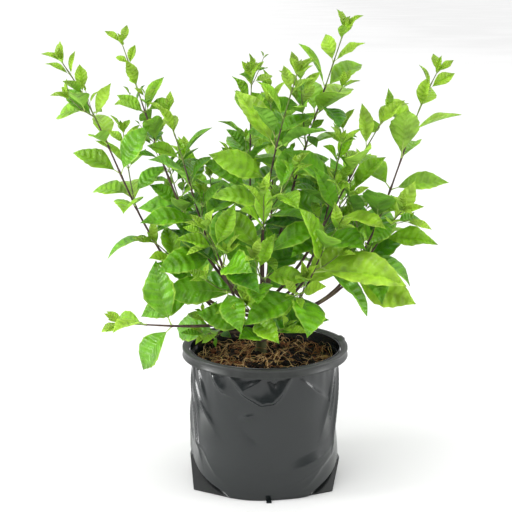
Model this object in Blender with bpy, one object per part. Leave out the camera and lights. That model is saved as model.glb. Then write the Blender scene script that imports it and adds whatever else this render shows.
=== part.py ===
"""A young duranta in a black film grow bag: a short trunk, boughs and masses of leaves that
keep clear of each other, in a gusseted bag with a stiff collar, filled with coir.

The frame is in metres with +Z up. The origin is at the middle of the bag's flat underside,
+X is to the right and -Y towards someone who faces the plant.
"""

import math
import random
from typing import NamedTuple

import bmesh
import bpy
from mathutils import Matrix, Vector
from mathutils.bvhtree import BVHTree

UP = Vector((0, 0, 1))
# Where turns round a stem are counted from
SIDE = Vector((0.31, -0.83, 0.17))
GAP = 0.0003
CLOSEST = 2e-7
FUSE_TRIES = 16

# The grow bag and its collar
POT_SIDES = 32
COLLAR_RADIUS = 0.091
COLLAR_INNER_RADIUS = 0.0831
COLLAR_TOP = 0.150
COLLAR_HEIGHT = 0.0098
COLLAR_SKIRT = 0.0030
COLLAR_FLANGE = 0.0042
COLLAR_ROUND = 0.0014
BAG_TOP = COLLAR_TOP - 0.0010
BAG_WALL = 0.0012
# The bag's outer radius at some heights
BAG_SHAPE = (
    (0.0, 0.0815),
    (0.010, 0.0838),
    (0.030, 0.0836),
    (0.055, 0.0822),
    (0.085, 0.0812),
    (0.115, 0.0818),
    (BAG_TOP, COLLAR_INNER_RADIUS - GAP),
)
# The four lower corners are folded flat and stand out as ears. Each has the bearing and the
# reach of its point on the floor, the bearing of its near foot, the bearing and height of the
# top of its fold, and the bearing of its far foot
BAG_EARS = (
    (-147, 0.0925, -117, -174, 0.032, -184),
    (-37, 0.0914, -55, -6, 0.026, 5),
    (36, 0.0910, 57, 5, 0.028, -4),
    (146, 0.0920, 120, 172, 0.031, 183),
)
EAR_FADE = 0.004

# The coir that fills the bag
SOIL_TOP = 0.1325
SOIL_MOUND = 0.0035
SOIL_RINGS = (0.94, 0.78, 0.60, 0.42, 0.24)
SOIL_LUMP = 0.0016

# The trunk, from its flat cut on the coir to its fork
TRUNK_FOOT = Vector((-0.005, 0.0, SOIL_TOP + SOIL_MOUND + GAP))
TRUNK_HEIGHT = 0.068
TRUNK_LEAN = Vector((0.05, 0.02))
TRUNK_FLARE_RADIUS = 0.0076
TRUNK_RADIUS = 0.0056
TRUNK_TOP_RADIUS = 0.0050
TRUNK_SIDES = 12
TRUNK_RINGS = 7

# Limbs and twigs
BOUGH_OFFSET = 0.0036
BOUGH_FOOT_RADIUS = 0.0024
BOUGH_TIP_RADIUS = 0.0018
BOUGH_SIDES = 6
BOUGH_STEPS = 5
STEM_RADIUS = 0.0016
STEM_TIP_RADIUS = 0.0007
STEM_SIDES = 3
STEM_STEPS = 6
TWIG_RADIUS = 0.0011
TWIG_STEPS = 3
TWIG_CHANCE = 0.42
TWIG_LEAST = 0.022
# A twig's joints and leaves, as shares of those of its stem
TWIG_JOINT = 0.8
TWIG_BLADE = 0.8

# Leaves, as shares of their own length
LEAF_STATIONS = (0.42, 0.74)
LEAF_PETIOLE = 0.13
LEAF_THICKNESS = 0.013
LEAF_SINK = 0.006
LEAF_STAGGER = 0.0009
LEAF_TILT_TRIES = 7
LEAF_GUARD = 0.0011
STEM_GUARD = 0.0005
LEAF_SIZES = (0.92, 1.0, 1.0, 0.92, 0.76, 0.52, 0.30)
SHADE_GREEN = (0.110, 0.260, 0.030)
SUN_GREEN = (0.170, 0.380, 0.055)
# The way that the leaves turn their upper faces, up and a little to the front
LIGHT = Vector((0.0, -0.55, 0.85))


class Bough(NamedTuple):
    """One bough and the mass of leaves that carries it on."""

    name: str
    foot: float  # height of its foot up the trunk
    turn: float  # bearing of its tip, in degrees anticlockwise from +X
    sweep: float  # how many degrees its bearing swings from foot to tip
    reach: float  # how far out its tip is
    rise: float  # how far its tip is above its foot
    bow: float  # how much of its way out it makes before it rises
    bare: float  # share of its length that has no leaves
    blade: float  # length of its longest leaves
    joint: float  # distance between its lowest pairs of leaves
    first_turn: float  # how far its first pair is turned round it, in degrees
    seed: int


BOUGHS = (
    Bough("left_outer", 0.044, 193, 25, 0.205, 0.281, 0.90, 0.40, 0.068, 0.043, 55, 236),
    Bough("left_inner", 0.056, 162, -41, 0.157, 0.282, 0.53, 0.40, 0.054, 0.044, 160, 651),
    Bough("right_outer", 0.054, 6, 40, 0.183, 0.256, 1.10, 0.38, 0.072, 0.041, 55, 666),
    Bough("centre_tall", 0.0685, 16, -20, 0.086, 0.287, -0.10, 0.36, 0.076, 0.042, 40, 171),
    Bough("left_low", 0.044, 204, -18, 0.158, 0.012, 0.60, 0.55, 0.065, 0.031, 85, 414),
    Bough("right_low", 0.04, 336, -60, 0.152, 0.134, 1.10, 0.42, 0.087, 0.041, 55, 563),
    Bough("centre_left", 0.0685, 108, -30, 0.038, 0.238, 0.80, 0.30, 0.066, 0.032, 100, 933),
    Bough("centre_front", 0.0685, 305, 55, 0.055, 0.245, 0.00, 0.32, 0.076, 0.043, 15, 645),
    Bough("right_mid", 0.062, 350, 20, 0.127, 0.209, 0.30, 0.36, 0.083, 0.042, 0, 305),
    Bough("right_inner", 0.06, 330, -60, 0.089, 0.182, 1.00, 0.34, 0.072, 0.038, 125, 137),
    Bough("left_mid", 0.062, 178, -50, 0.099, 0.205, 1.00, 0.36, 0.070, 0.042, 135, 879),
    Bough("front_left", 0.05, 234, 0, 0.095, 0.108, 0.80, 0.34, 0.079, 0.035, 95, 713),
    Bough("left_side", 0.038, 192, 5, 0.112, 0.095, 0.80, 0.38, 0.072, 0.043, 90, 32),
    Bough("front_right", 0.046, 312, 0, 0.107, 0.113, 0.80, 0.34, 0.097, 0.036, 150, 997),
    Bough("front_middle", 0.06, 270, 0, 0.077, 0.135, 0.80, 0.30, 0.070, 0.036, 140, 580),
    Bough("front", 0.03, 256, -10, 0.064, 0.044, 0.50, 0.40, 0.067, 0.014, 55, 352),
    Bough("back_left", 0.052, 128, 0, 0.147, 0.156, 0.80, 0.32, 0.078, 0.053, 165, 289),
    Bough("back", 0.058, 84, 0, 0.137, 0.169, 0.80, 0.32, 0.085, 0.041, 65, 740),
    Bough("back_right", 0.05, 42, 0, 0.147, 0.148, 0.80, 0.32, 0.068, 0.043, 10, 9),
    Bough("back_low", 0.04, 100, 0, 0.122, 0.046, 0.60, 0.38, 0.079, 0.035, 65, 942),
    Bough("rim_left", 0.029, 212, 20, 0.068, 0.007, 0.60, 0.46, 0.070, 0.026, 0, 870),
    Bough("rim_right", 0.021, 288, 20, 0.072, 0.031, 0.60, 0.43, 0.064, 0.032, 110, 202),
)


class Leaf(NamedTuple):
    """One leaf: where it starts, which way its rib sets off, and which way its upper face looks."""

    root: Vector
    ahead: Vector
    face: Vector
    length: float
    width: float
    arch: float  # how far the rib bends down over its length, in radians
    fold: float  # how far each half is folded up, in radians
    age: float  # 0 at a shoot's foot, 1 at its tip


class Shoot(NamedTuple):
    """A stem or twig: the points of its line, and its radius at each end."""

    line: list
    foot_radius: float
    tip_radius: float


def along(line, share):
    """The point at a share of a line's steps, and the line's direction there."""
    at = min(max(share, 0.0), 1.0) * (len(line) - 1)
    step = min(int(at), len(line) - 2)
    here = line[step].lerp(line[step + 1], at - step)
    return here, (line[step + 1] - line[step]).normalized()


def length_of(line):
    return sum((b - a).length for a, b in zip(line, line[1:]))


def square_to(direction, hint):
    """The unit direction nearest to hint that is square to direction."""
    return (hint - direction * hint.dot(direction)).normalized()


def blend(low, high, share):
    return low + (high - low) * share


def trunk_point(height):
    return TRUNK_FOOT + Vector((*(TRUNK_LEAN * height), height))


def trunk_radius(height):
    """The trunk's radius: a flare at the root, then an even taper to the fork."""
    flare = (TRUNK_FLARE_RADIUS - TRUNK_RADIUS) * math.exp(-height / 0.006)
    return flare + blend(TRUNK_RADIUS, TRUNK_TOP_RADIUS, height / TRUNK_HEIGHT)


def bough_point(bough, share):
    """A point on a bough's line, which goes outwards first and rises later, by its bow."""
    delay = bough.bow * share * (1 - share) ** 2
    bearing = math.radians(bough.turn - bough.sweep * (1 - share))
    outward = Vector((math.cos(bearing), math.sin(bearing), 0))
    start = trunk_point(bough.foot) + outward * BOUGH_OFFSET
    return start + outward * bough.reach * (share + delay) + UP * bough.rise * (share - delay)


def outside_trunk(point):
    """How far a point is outside the trunk, sideways or above its fork."""
    height = point.z - TRUNK_FOOT.z
    sideways = (point - trunk_point(height)).xy.length - trunk_radius(min(height, TRUNK_HEIGHT))
    return max(sideways, height - TRUNK_HEIGHT)


def bough_start(bough):
    """The share of a bough's line at which its whole foot has left the trunk by the gap."""
    share = 0.0
    while share < 0.5:
        corners = []
        for ahead in (0.0, 0.01, 0.02, 0.03):
            here, there = bough_point(bough, share + ahead), bough_point(bough, share + ahead + 0.01)
            ring = ring_matrix(here, there - here, BOUGH_FOOT_RADIUS)
            corners += [ring @ corner for corner in unit_ring(2 * BOUGH_SIDES)]
        if min(outside_trunk(corner) for corner in corners) > GAP:
            return share
        share += 0.001
    return share


def bough_line(bough):
    first, last = bough_start(bough), bough.bare
    return [bough_point(bough, blend(first, last, i / BOUGH_STEPS)) for i in range(BOUGH_STEPS + 1)]


def stem_line(bough):
    """The line of the stem that carries a bough on through its mass, from the gap to the tip."""
    first = bough.bare + GAP / (bough.reach + bough.rise)
    while (bough_point(bough, first) - bough_point(bough, bough.bare)).length < GAP:
        first += 0.0002
    return [bough_point(bough, blend(first, 1, i / STEM_STEPS)) for i in range(STEM_STEPS + 1)]


def leaf_point(leaf, share, across, lift=0.0):
    """The point of a leaf at a share of its length, from -1 to 1 across, lifted off its rib."""
    bend = max(leaf.arch, 1e-4) * share
    forward = math.sin(bend) / max(leaf.arch, 1e-4)
    drop = (1 - math.cos(bend)) / max(leaf.arch, 1e-4)
    rib = leaf.root + (leaf.ahead * forward - leaf.face * drop) * leaf.length
    face = leaf.face * math.cos(bend) + leaf.ahead * math.sin(bend)
    side = leaf.ahead.cross(leaf.face)
    half = half_width(leaf, share)
    out = side * across * half * math.cos(leaf.fold)
    return rib + out + face * (abs(across) * half * math.sin(leaf.fold) + lift)


def half_width(leaf, share):
    """Half the leaf's width: a slender petiole, a wedge-shaped base and a pointed tip."""
    if share < LEAF_PETIOLE:
        return 0.02 * leaf.length
    blade = (share - LEAF_PETIOLE) / (1 - LEAF_PETIOLE)
    return 0.5 * leaf.width * math.sin(math.pi * blade**0.9) + 0.02 * leaf.length * (1 - blade)


def leaf_on(line, share, bearing, spread, size, age, rng):
    """A leaf that leaves a line at a bearing round it, spread from its direction."""
    root, ahead = along(line, share)
    level = square_to(ahead, SIDE)
    outward = Matrix.Rotation(bearing, 3, ahead) @ level
    aim = ahead * math.cos(spread) + outward * math.sin(spread) + UP * 0.15
    aim.normalize()
    face = square_to(aim, ahead * 0.35 + LIGHT)
    face = Matrix.Rotation(rng.gauss(0, 0.30), 3, aim) @ face
    length = size * rng.uniform(0.86, 1.12)
    width = length * rng.uniform(0.42, 0.54) * blend(1, 0.86, age)
    arch = blend(0.75, 0.35, age) * rng.uniform(0.5, 1.3)
    fold = math.radians(blend(12, 28, age)) * rng.uniform(0.7, 1.3)
    return Leaf(root, aim, face, length, width, arch, fold, age)


def size_at(age):
    """How long a leaf is along a shoot, as a share of the longest."""
    at = age * (len(LEAF_SIZES) - 1)
    step = min(int(at), len(LEAF_SIZES) - 2)
    return blend(LEAF_SIZES[step], LEAF_SIZES[step + 1], at - step)


def pair_shares(line, joint):
    """The places of the pairs along a line, closer together towards its tip."""
    total, at, found = length_of(line), 0.35 * joint, []
    while at < total - 0.25 * joint:
        found.append(at / total)
        at += joint * blend(1.0, 0.5, at / total)
    return found + [0.985]


class Growth(NamedTuple):
    """What one mass holds: its stem, its twigs and its leaves."""

    stem: Shoot
    twigs: list
    leaves: list


class Guard:
    """A shape a little larger than a piece, that other pieces must keep out of. Pieces of the
    same mass meet at their roots, so among themselves they only mind the part beyond these."""

    def __init__(self, owner, rings, root):
        self.owner = owner
        self.points = [point for ring in rings for point in ring]
        self.middle = sum(self.points, Vector()) / len(self.points)
        self.radius = max((point - self.middle).length for point in self.points)
        self.rings = rings
        self.root = root
        self.trees = {}

    def tree(self, whole):
        """The surface through all the rings, or through those beyond the root."""
        if whole not in self.trees:
            rings = self.rings if whole else self.rings[self.root :]
            size = len(rings[0])
            faces = [tuple(range(size)), tuple(range(len(rings) * size - size, len(rings) * size))]
            for low in range(0, (len(rings) - 1) * size, size):
                for i in range(size):
                    j = (i + 1) % size
                    faces.append((low + i, low + j, low + size + j, low + size + i))
            points = [point for ring in rings for point in ring]
            self.trees[whole] = BVHTree.FromPolygons(points, faces)
        return self.trees[whole]

    def touches(self, other):
        if (self.middle - other.middle).length > self.radius + other.radius:
            return False
        whole = self.owner != other.owner
        return bool(self.tree(whole).overlap(other.tree(whole)))


def leaf_guard(owner, leaf):
    rings = []
    for share in (0.06, 0.24, 0.42, 0.60, 0.80, 1.0):
        middle = leaf_point(leaf, share, 0)
        up = (leaf_point(leaf, share, 0, 1) - middle).normalized() * LEAF_GUARD
        edge = 1 + LEAF_GUARD / half_width(leaf, share) if share < 1 else 1
        near, far = leaf_point(leaf, share, -edge), leaf_point(leaf, share, edge)
        rings.append((near, middle + up, far, middle - up))
    return Guard(owner, rings, 1)


def limb_guard(owner, shoot, sides, margin, root=0):
    rings = []
    last = len(shoot.line) - 1
    for i, here in enumerate(shoot.line):
        ahead = shoot.line[min(i + 1, last)] - shoot.line[max(i - 1, 0)]
        radius = blend(shoot.foot_radius, shoot.tip_radius, i / last) + margin
        ring = ring_matrix(here, ahead, radius)
        rings.append([ring @ corner for corner in unit_ring(sides)])
    return Guard(owner, rings, root)


def ring_matrix(here, ahead, radius):
    """Puts a unit ring round a line at a point, with its first corner turned to SIDE."""
    ahead = ahead.normalized()
    first = square_to(ahead, SIDE)
    turn = Matrix((first, ahead.cross(first), ahead)).transposed().to_4x4()
    return Matrix.Translation(here) @ turn @ Matrix.Scale(radius, 4)


def unit_ring(sides):
    turns = (2 * math.pi * k / sides for k in range(sides))
    return [Vector((math.cos(turn), math.sin(turn), 0)) for turn in turns]


def place(guards, guard):
    """Adds a guard to those of the pieces already placed, if it keeps clear of them all."""
    if any(guard.touches(placed) for placed in guards):
        return False
    guards.append(guard)
    return True


def try_leaf(guards, owner, line, share, bearing, spread, size, age, rng):
    """The first of a few turned copies of a leaf that keeps clear, or None."""
    for attempt in range(LEAF_TILT_TRIES):
        swing = math.radians(11) * ((attempt + 1) // 2) * (1 if attempt % 2 else -1)
        leaf = leaf_on(line, share, bearing + swing, spread, size, age, rng)
        if place(guards, leaf_guard(owner, leaf)):
            return leaf
    return None


def grow_pairs(guards, owner, line, joint, blade, first_turn, rng):
    """Opposite pairs of leaves up a line, each a quarter turn from the last."""
    leaves = []
    stagger = LEAF_STAGGER / length_of(line)
    for number, share in enumerate(pair_shares(line, joint)):
        bearing = first_turn + number * math.pi / 2 + rng.gauss(0, 0.18)
        spread = math.radians(blend(74, 30, share) + rng.gauss(0, 5))
        for opposite, shift in ((0, 0), (math.pi, -stagger)):
            size = blade * size_at(share)
            turn, at = bearing + opposite, share + shift
            leaf = try_leaf(guards, owner, line, at, turn, spread, size, share, rng)
            if leaf:
                leaves.append(leaf)
    return leaves


def twig_line(stem, share, bearing, size):
    """A twig from a leaf's axil, which sets off outwards and turns up."""
    root, ahead = along(stem, share)
    outward = Matrix.Rotation(bearing, 3, ahead) @ square_to(ahead, SIDE)
    aim = (ahead * 0.75 + outward * 0.65).normalized()
    steps = [size * i / TWIG_STEPS for i in range(TWIG_STEPS + 1)]
    return [root + aim * step + UP * (0.25 * step * step / size) for step in steps]


def grow_mass(guards, bough, stem):
    """The twigs and leaves of one mass, by a rule whose choices come from the bough's seed."""
    rng = random.Random(bough.seed)
    turn = math.radians(bough.first_turn)
    total = length_of(stem.line)
    twigs = []
    for number, share in enumerate(pair_shares(stem.line, bough.joint)[:-2]):
        share += 2 * LEAF_STAGGER / total
        bearing = turn + number * math.pi / 2 + rng.choice((0, math.pi))
        size = total * (1 - share) * rng.uniform(0.30, 0.52)
        if rng.random() < TWIG_CHANCE and size > TWIG_LEAST:
            twig = Shoot(twig_line(stem.line, share, bearing, size), TWIG_RADIUS, STEM_TIP_RADIUS)
            if place(guards, limb_guard(bough.name, twig, STEM_SIDES, LEAF_GUARD, 1)):
                twigs.append(twig)
    leaves = grow_pairs(guards, bough.name, stem.line, bough.joint, bough.blade, turn, rng)
    for twig in twigs:
        joint, blade = TWIG_JOINT * bough.joint, TWIG_BLADE * bough.blade
        first_turn = rng.uniform(0, math.pi)
        leaves += grow_pairs(guards, bough.name, twig.line, joint, blade, first_turn, rng)
    return Growth(stem, twigs, leaves)


def pot_guards():
    """The rim of the pot and the top of the coir, as shapes that leaves keep out of."""
    rim = [COLLAR_RADIUS * corner + UP * (COLLAR_TOP + 0.004) for corner in unit_ring(24)]
    floor = [Vector((point.x, point.y, 0)) for point in rim]
    soil = [Vector((point.x, point.y, SOIL_TOP + 2 * SOIL_MOUND)) for point in rim]
    return [Guard("collar", [floor, rim], 0), Guard("medium", [floor, soil], 0)]


def start_guards():
    """The limbs and stems of every bough, and guards round them, the trunk and the pot."""
    guards = pot_guards()
    limbs, stems = {}, {}
    for bough in BOUGHS:
        limbs[bough.name] = Shoot(bough_line(bough), BOUGH_FOOT_RADIUS, BOUGH_TIP_RADIUS)
        stems[bough.name] = Shoot(stem_line(bough), STEM_RADIUS, STEM_TIP_RADIUS)
        owner = "bough " + bough.name
        guards.append(limb_guard(owner, limbs[bough.name], BOUGH_SIDES, LEAF_GUARD))
        guards.append(limb_guard(bough.name, stems[bough.name], STEM_SIDES, STEM_GUARD, 1))
    trunk = Shoot([trunk_point(0), trunk_point(TRUNK_HEIGHT)], TRUNK_RADIUS, TRUNK_TOP_RADIUS)
    guards.append(limb_guard("trunk", trunk, TRUNK_SIDES, LEAF_GUARD))
    return guards, limbs, stems


def grow_plant():
    """Each bough's limb and growth. All the limbs are placed first, so that leaves avoid them."""
    guards, limbs, stems = start_guards()
    growths = {bough.name: grow_mass(guards, bough, stems[bough.name]) for bough in BOUGHS}
    return limbs, growths


def tube(sides, cuts, tip=False):
    """A round bar or spike of unit length along +Z, cut across at each of the given shares."""
    bm = bmesh.new()
    bmesh.ops.create_cone(
        bm,
        cap_ends=True,
        cap_tris=False,
        segments=sides,
        radius1=1,
        radius2=0 if tip else 1,
        depth=1,
        matrix=Matrix.Translation((0, 0, 0.5)),
    )
    if tip:
        bmesh.ops.remove_doubles(bm, verts=bm.verts, dist=1e-5)
    for share in cuts:
        everything = bm.verts[:] + bm.edges[:] + bm.faces[:]
        bmesh.ops.bisect_plane(bm, geom=everything, dist=1e-6, plane_co=(0, 0, share), plane_no=UP)
    return bm


def shape_tube(name, sides, cuts, place, tip=False, smooth=True):
    """A mesh object made from a tube, each of whose points is put where the rule says."""
    bm = tube(sides, cuts, tip)
    for vert in bm.verts:
        vert.co = place(vert.co)
    bmesh.ops.remove_doubles(bm, verts=bm.verts, dist=1e-6)
    return finish(name, bm, smooth)


def finish(name, bm, smooth=False):
    """Turns a bmesh into an object of triangles that point outwards."""
    bmesh.ops.triangulate(bm, faces=bm.faces, quad_method="SHORT_EDGE")
    bmesh.ops.recalc_face_normals(bm, faces=bm.faces)
    mesh = bpy.data.meshes.new(name)
    bm.to_mesh(mesh)
    bm.free()
    if smooth:
        mesh.shade_smooth()
    piece = bpy.data.objects.new(name, mesh)
    bpy.context.scene.collection.objects.link(piece)
    return piece


def even_cuts(steps):
    return [i / steps for i in range(1, steps)]


def limb(name, shoot, sides):
    """A limb or twig that follows a shoot's line and tapers evenly."""
    steps = len(shoot.line) - 1

    def place(point):
        share = point.z
        here = along(shoot.line, share)[0]
        step = round(share * steps)
        ahead = shoot.line[min(step + 1, steps)] - shoot.line[max(step - 1, 0)]
        radius = blend(shoot.foot_radius, shoot.tip_radius, share)
        return ring_matrix(here, ahead, radius) @ Vector((point.x, point.y, 0))

    return shape_tube(name, sides, even_cuts(steps), place)


def leaf_solid(name, leaf, sink):
    """A leaf as a thin spike with a rib above and below, widened to the leaf's own outline."""
    half_thick = 0.5 * LEAF_THICKNESS * leaf.length

    def place(point):
        if point.z > 0.999:
            return leaf_point(leaf, 1, 0)
        if point.z < 0.001:
            return leaf_point(leaf, -sink, 0)
        turn = round(math.atan2(point.y, point.x) / (math.pi / 2)) % 4
        across = (1, 0, -1, 0)[turn]
        return leaf_point(leaf, point.z, across, (0, half_thick, 0, -half_thick)[turn])

    return shape_tube(name, 4, LEAF_STATIONS, place, tip=True, smooth=False)


def trunk_solid():
    """The trunk: level rings that narrow from the flare, flat on the coir and at the fork."""
    cuts = [(i / TRUNK_RINGS) ** 1.6 for i in range(1, TRUNK_RINGS)]

    def place(point):
        height = point.z * TRUNK_HEIGHT
        across = Vector((point.x, point.y, 0)) * trunk_radius(height)
        return trunk_point(height) + across

    return shape_tube("trunk", TRUNK_SIDES, cuts, place)


def fuse(name, pieces):
    """Joins a mass's stem, twigs and leaves into one closed body."""
    helpers = bpy.data.collections.new(name + " pieces")
    bpy.context.scene.collection.children.link(helpers)
    body, rest = pieces[0], pieces[1:]
    for piece in rest:
        bpy.context.scene.collection.objects.unlink(piece)
        helpers.objects.link(piece)
    union = body.modifiers.new("fused leaves", "BOOLEAN")
    union.operation = "UNION"
    union.operand_type = "COLLECTION"
    union.collection = helpers
    union.solver = "MANIFOLD"
    bpy.context.view_layer.update()
    fused = bpy.data.meshes.new_from_object(body.evaluated_get(bpy.context.evaluated_depsgraph_get()))
    body.modifiers.clear()
    body.data = fused
    for piece in rest:
        bpy.data.objects.remove(piece)
    bpy.data.collections.remove(helpers)
    body.name = name
    return body


def is_sound(body):
    """Whether a fused body is one piece, and no two of its points are almost together."""
    bm = bmesh.new()
    bm.from_mesh(body.data)
    close = bmesh.ops.find_doubles(bm, verts=bm.verts, dist=CLOSEST)["targetmap"]
    bm.faces.ensure_lookup_table()
    seen, edge = set(), {bm.faces[0]}
    while edge:
        seen |= edge
        edge = {near for face in edge for e in face.edges for near in e.link_faces} - seen
    one_piece = len(seen) == len(bm.faces)
    bm.free()
    return one_piece and not close


def mass_solid(bough, growth):
    """One mass of foliage as a single body: its stem with every twig and leaf fused on. Where
    fusing leaves two points almost together, the leaves are sunk a hair deeper and fused again."""
    for attempt in range(FUSE_TRIES):
        sink = LEAF_SINK * (1 + 0.07 * attempt)
        pieces = [limb("stem", growth.stem, STEM_SIDES)]
        for number, twig in enumerate(growth.twigs):
            pieces.append(limb(f"twig {number}", twig, STEM_SIDES))
        for number, leaf in enumerate(growth.leaves):
            pieces.append(leaf_solid(f"leaf {number}", leaf, sink))
        body = fuse("foliage_" + bough.name, pieces)
        if is_sound(body) or attempt == FUSE_TRIES - 1:
            return body
        bpy.data.objects.remove(body)


def bag_radius(height):
    """The bag's outer radius before its corners are folded in."""
    for (low, r_low), (high, r_high) in zip(BAG_SHAPE, BAG_SHAPE[1:]):
        if height <= high:
            return blend(r_low, r_high, max(height - low, 0) / (high - low))
    return BAG_SHAPE[-1][1]


def wall_point(bearing, radius, height):
    turn = math.radians(bearing)
    return Vector((radius * math.cos(turn), radius * math.sin(turn), height))


def reach_of(face, outward, height):
    """How far out a plane through three points lies at a height, seen from the axis."""
    a, b, c = face
    normal = (b - a).cross(c - a)
    slant = normal.dot(outward)
    return (normal.dot(a) - normal.z * height) / slant if abs(slant) > 1e-9 else 0


def ear_radius(bearing, height):
    """How far out the nearest ear of the bag reaches at a bearing in degrees and a height."""
    outward, wall = wall_point(bearing, 1, 0), bag_radius(height)
    found = 0
    for turn, reach, near, top, top_height, far in BAG_EARS:
        away = (bearing - turn + 180) % 360 - 180
        if height > top_height or not min(near, far) < turn + away < max(near, far):
            continue
        corner = wall_point(turn, reach, 0)
        fold_top = wall_point(top, bag_radius(top_height), top_height)
        faces = [(wall_point(foot, bag_radius(0), 0), corner, fold_top) for foot in (near, far)]
        ear = min(reach_of(face, outward, height) for face in faces)
        found = max(found, wall + (ear - wall) * min((top_height - height) / EAR_FADE, 1))
    return found


def spun(name, profile, smooth=True):
    """A ring or pot turned from a profile of (radius, height) points about the upright axis."""
    bm = bmesh.new()
    verts = [bm.verts.new((radius, 0, height)) for radius, height in profile]
    edges = [bm.edges.new(pair) for pair in zip(verts, verts[1:])]
    if profile[0][0] > 0:
        edges.append(bm.edges.new((verts[-1], verts[0])))
    bmesh.ops.spin(
        bm,
        geom=verts + edges,
        cent=(0, 0, 0),
        axis=UP,
        angle=2 * math.pi,
        steps=POT_SIDES,
        use_merge=True,
    )
    bmesh.ops.remove_doubles(bm, verts=bm.verts, dist=1e-5)
    return finish(name, bm, smooth)


def bag_solid():
    """The bag: thin film with a flat floor, open at the top, with an ear at each lower corner."""
    outside = [(radius, height) for height, radius in BAG_SHAPE]
    heights = [BAG_WALL] + [height for height, _ in BAG_SHAPE[1:]]
    inside = [(bag_radius(height) - BAG_WALL, height) for height in heights]
    bag = spun("grow_bag", [(0, 0)] + outside + inside[::-1] + [(0, BAG_WALL)])
    for vert in bag.data.vertices:
        radius = vert.co.xy.length
        if radius > bag_radius(vert.co.z) - 0.5 * BAG_WALL:
            bearing = math.degrees(math.atan2(vert.co.y, vert.co.x))
            vert.co = wall_point(bearing, max(radius, ear_radius(bearing, vert.co.z)), vert.co.z)
    return bag


def collar_solid():
    """The stiff collar: a skirt outside and a flange on top with rounded edges."""
    skirt, flange = COLLAR_RADIUS - COLLAR_SKIRT, COLLAR_TOP - COLLAR_FLANGE
    foot, r = COLLAR_TOP - COLLAR_HEIGHT, COLLAR_ROUND
    profile = [
        (COLLAR_RADIUS - 0.4 * r, foot),
        (COLLAR_RADIUS, foot + 0.4 * r),
        (COLLAR_RADIUS, COLLAR_TOP - r),
        (COLLAR_RADIUS - 0.3 * r, COLLAR_TOP - 0.3 * r),
        (COLLAR_RADIUS - r, COLLAR_TOP),
        (COLLAR_INNER_RADIUS + r, COLLAR_TOP),
        (COLLAR_INNER_RADIUS + 0.3 * r, COLLAR_TOP - 0.3 * r),
        (COLLAR_INNER_RADIUS, COLLAR_TOP - r),
        (COLLAR_INNER_RADIUS, flange),
        (skirt, flange),
        (skirt, foot),
    ]
    return spun("collar", profile)


def medium_solid():
    """The coir that fills the bag, with a low lumpy mound round the trunk."""
    skin = BAG_WALL + GAP
    profile = [(0, skin)]
    for height in [skin] + [height for height, _ in BAG_SHAPE[1:-1]] + [SOIL_TOP]:
        profile.append((bag_radius(height) - skin, height))
    edge = bag_radius(SOIL_TOP) - skin
    for share in SOIL_RINGS:
        profile.append((edge * share, SOIL_TOP + SOIL_MOUND * (1 - share**2)))
    profile.append((0, SOIL_TOP + SOIL_MOUND))
    medium = spun("growing_medium", profile)
    for vert in medium.data.vertices:
        x, y, radius = vert.co.x, vert.co.y, vert.co.xy.length
        if vert.co.z > SOIL_TOP + 1e-5:
            lump = math.sin(310 * x + 140 * y) * math.cos(270 * y - 90 * x)
            vert.co.z = vert.co.z + SOIL_LUMP * lump if radius > 0.022 else SOIL_TOP + SOIL_MOUND
    return medium


def paint(piece, name, colour, roughness):
    """Gives a piece its own plain material."""
    material = bpy.data.materials.new(name)
    material.use_nodes = True
    shader = material.node_tree.nodes["Principled BSDF"]
    shader.inputs["Base Color"].default_value = (*colour, 1)
    shader.inputs["Roughness"].default_value = roughness
    shader.inputs["Metallic"].default_value = 0
    piece.data.materials.clear()
    piece.data.materials.append(material)


def build():
    for piece in list(bpy.data.objects):
        bpy.data.objects.remove(piece)
    limbs, growths = grow_plant()
    paint(bag_solid(), "black film", (0.022, 0.023, 0.024), 0.36)
    paint(collar_solid(), "collar plastic", (0.030, 0.034, 0.033), 0.42)
    paint(medium_solid(), "coir and bark", (0.085, 0.045, 0.025), 0.95)
    paint(trunk_solid(), "trunk bark", (0.130, 0.110, 0.060), 0.85)
    for bough in BOUGHS:
        piece = limb("bough_" + bough.name, limbs[bough.name], BOUGH_SIDES)
        paint(piece, "bark of " + bough.name.replace("_", " "), (0.095, 0.060, 0.050), 0.7)
        paint(
            mass_solid(bough, growths[bough.name]),
            "leaves of " + bough.name.replace("_", " "),
            blend(Vector(SHADE_GREEN), Vector(SUN_GREEN), bough.rise / 0.30),
            0.5,
        )


if __name__ == "__main__":
    build()
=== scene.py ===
# %% [markdown]
# # Dressing a potted duranta
# The CAD part gives a young shrub in a film grow bag as plain solids: a trunk, boughs, masses of
# leaves, the bag, its collar and the coir. This lesson loads those solids and builds what the eye
# sees on top of them. A CAD solid has few faces so that it can be checked and simulated, while a
# picture wants curved leaves, bark and creased film, so most solids are replaced by a finer piece
# that keeps to the same place and size.

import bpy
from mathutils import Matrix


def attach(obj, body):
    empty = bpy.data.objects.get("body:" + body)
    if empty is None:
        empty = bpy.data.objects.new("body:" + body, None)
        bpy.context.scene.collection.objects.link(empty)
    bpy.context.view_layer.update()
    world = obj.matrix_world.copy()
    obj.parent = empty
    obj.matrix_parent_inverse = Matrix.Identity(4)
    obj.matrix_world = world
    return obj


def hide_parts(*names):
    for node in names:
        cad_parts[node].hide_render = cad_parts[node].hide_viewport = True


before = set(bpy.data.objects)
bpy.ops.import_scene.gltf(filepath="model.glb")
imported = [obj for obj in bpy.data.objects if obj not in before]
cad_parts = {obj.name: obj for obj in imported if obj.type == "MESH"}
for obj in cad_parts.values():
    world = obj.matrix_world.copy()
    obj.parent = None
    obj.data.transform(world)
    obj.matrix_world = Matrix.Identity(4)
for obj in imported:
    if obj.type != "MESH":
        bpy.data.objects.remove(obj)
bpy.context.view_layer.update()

# %% Blender's modules
import math
import random
from typing import NamedTuple

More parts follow.
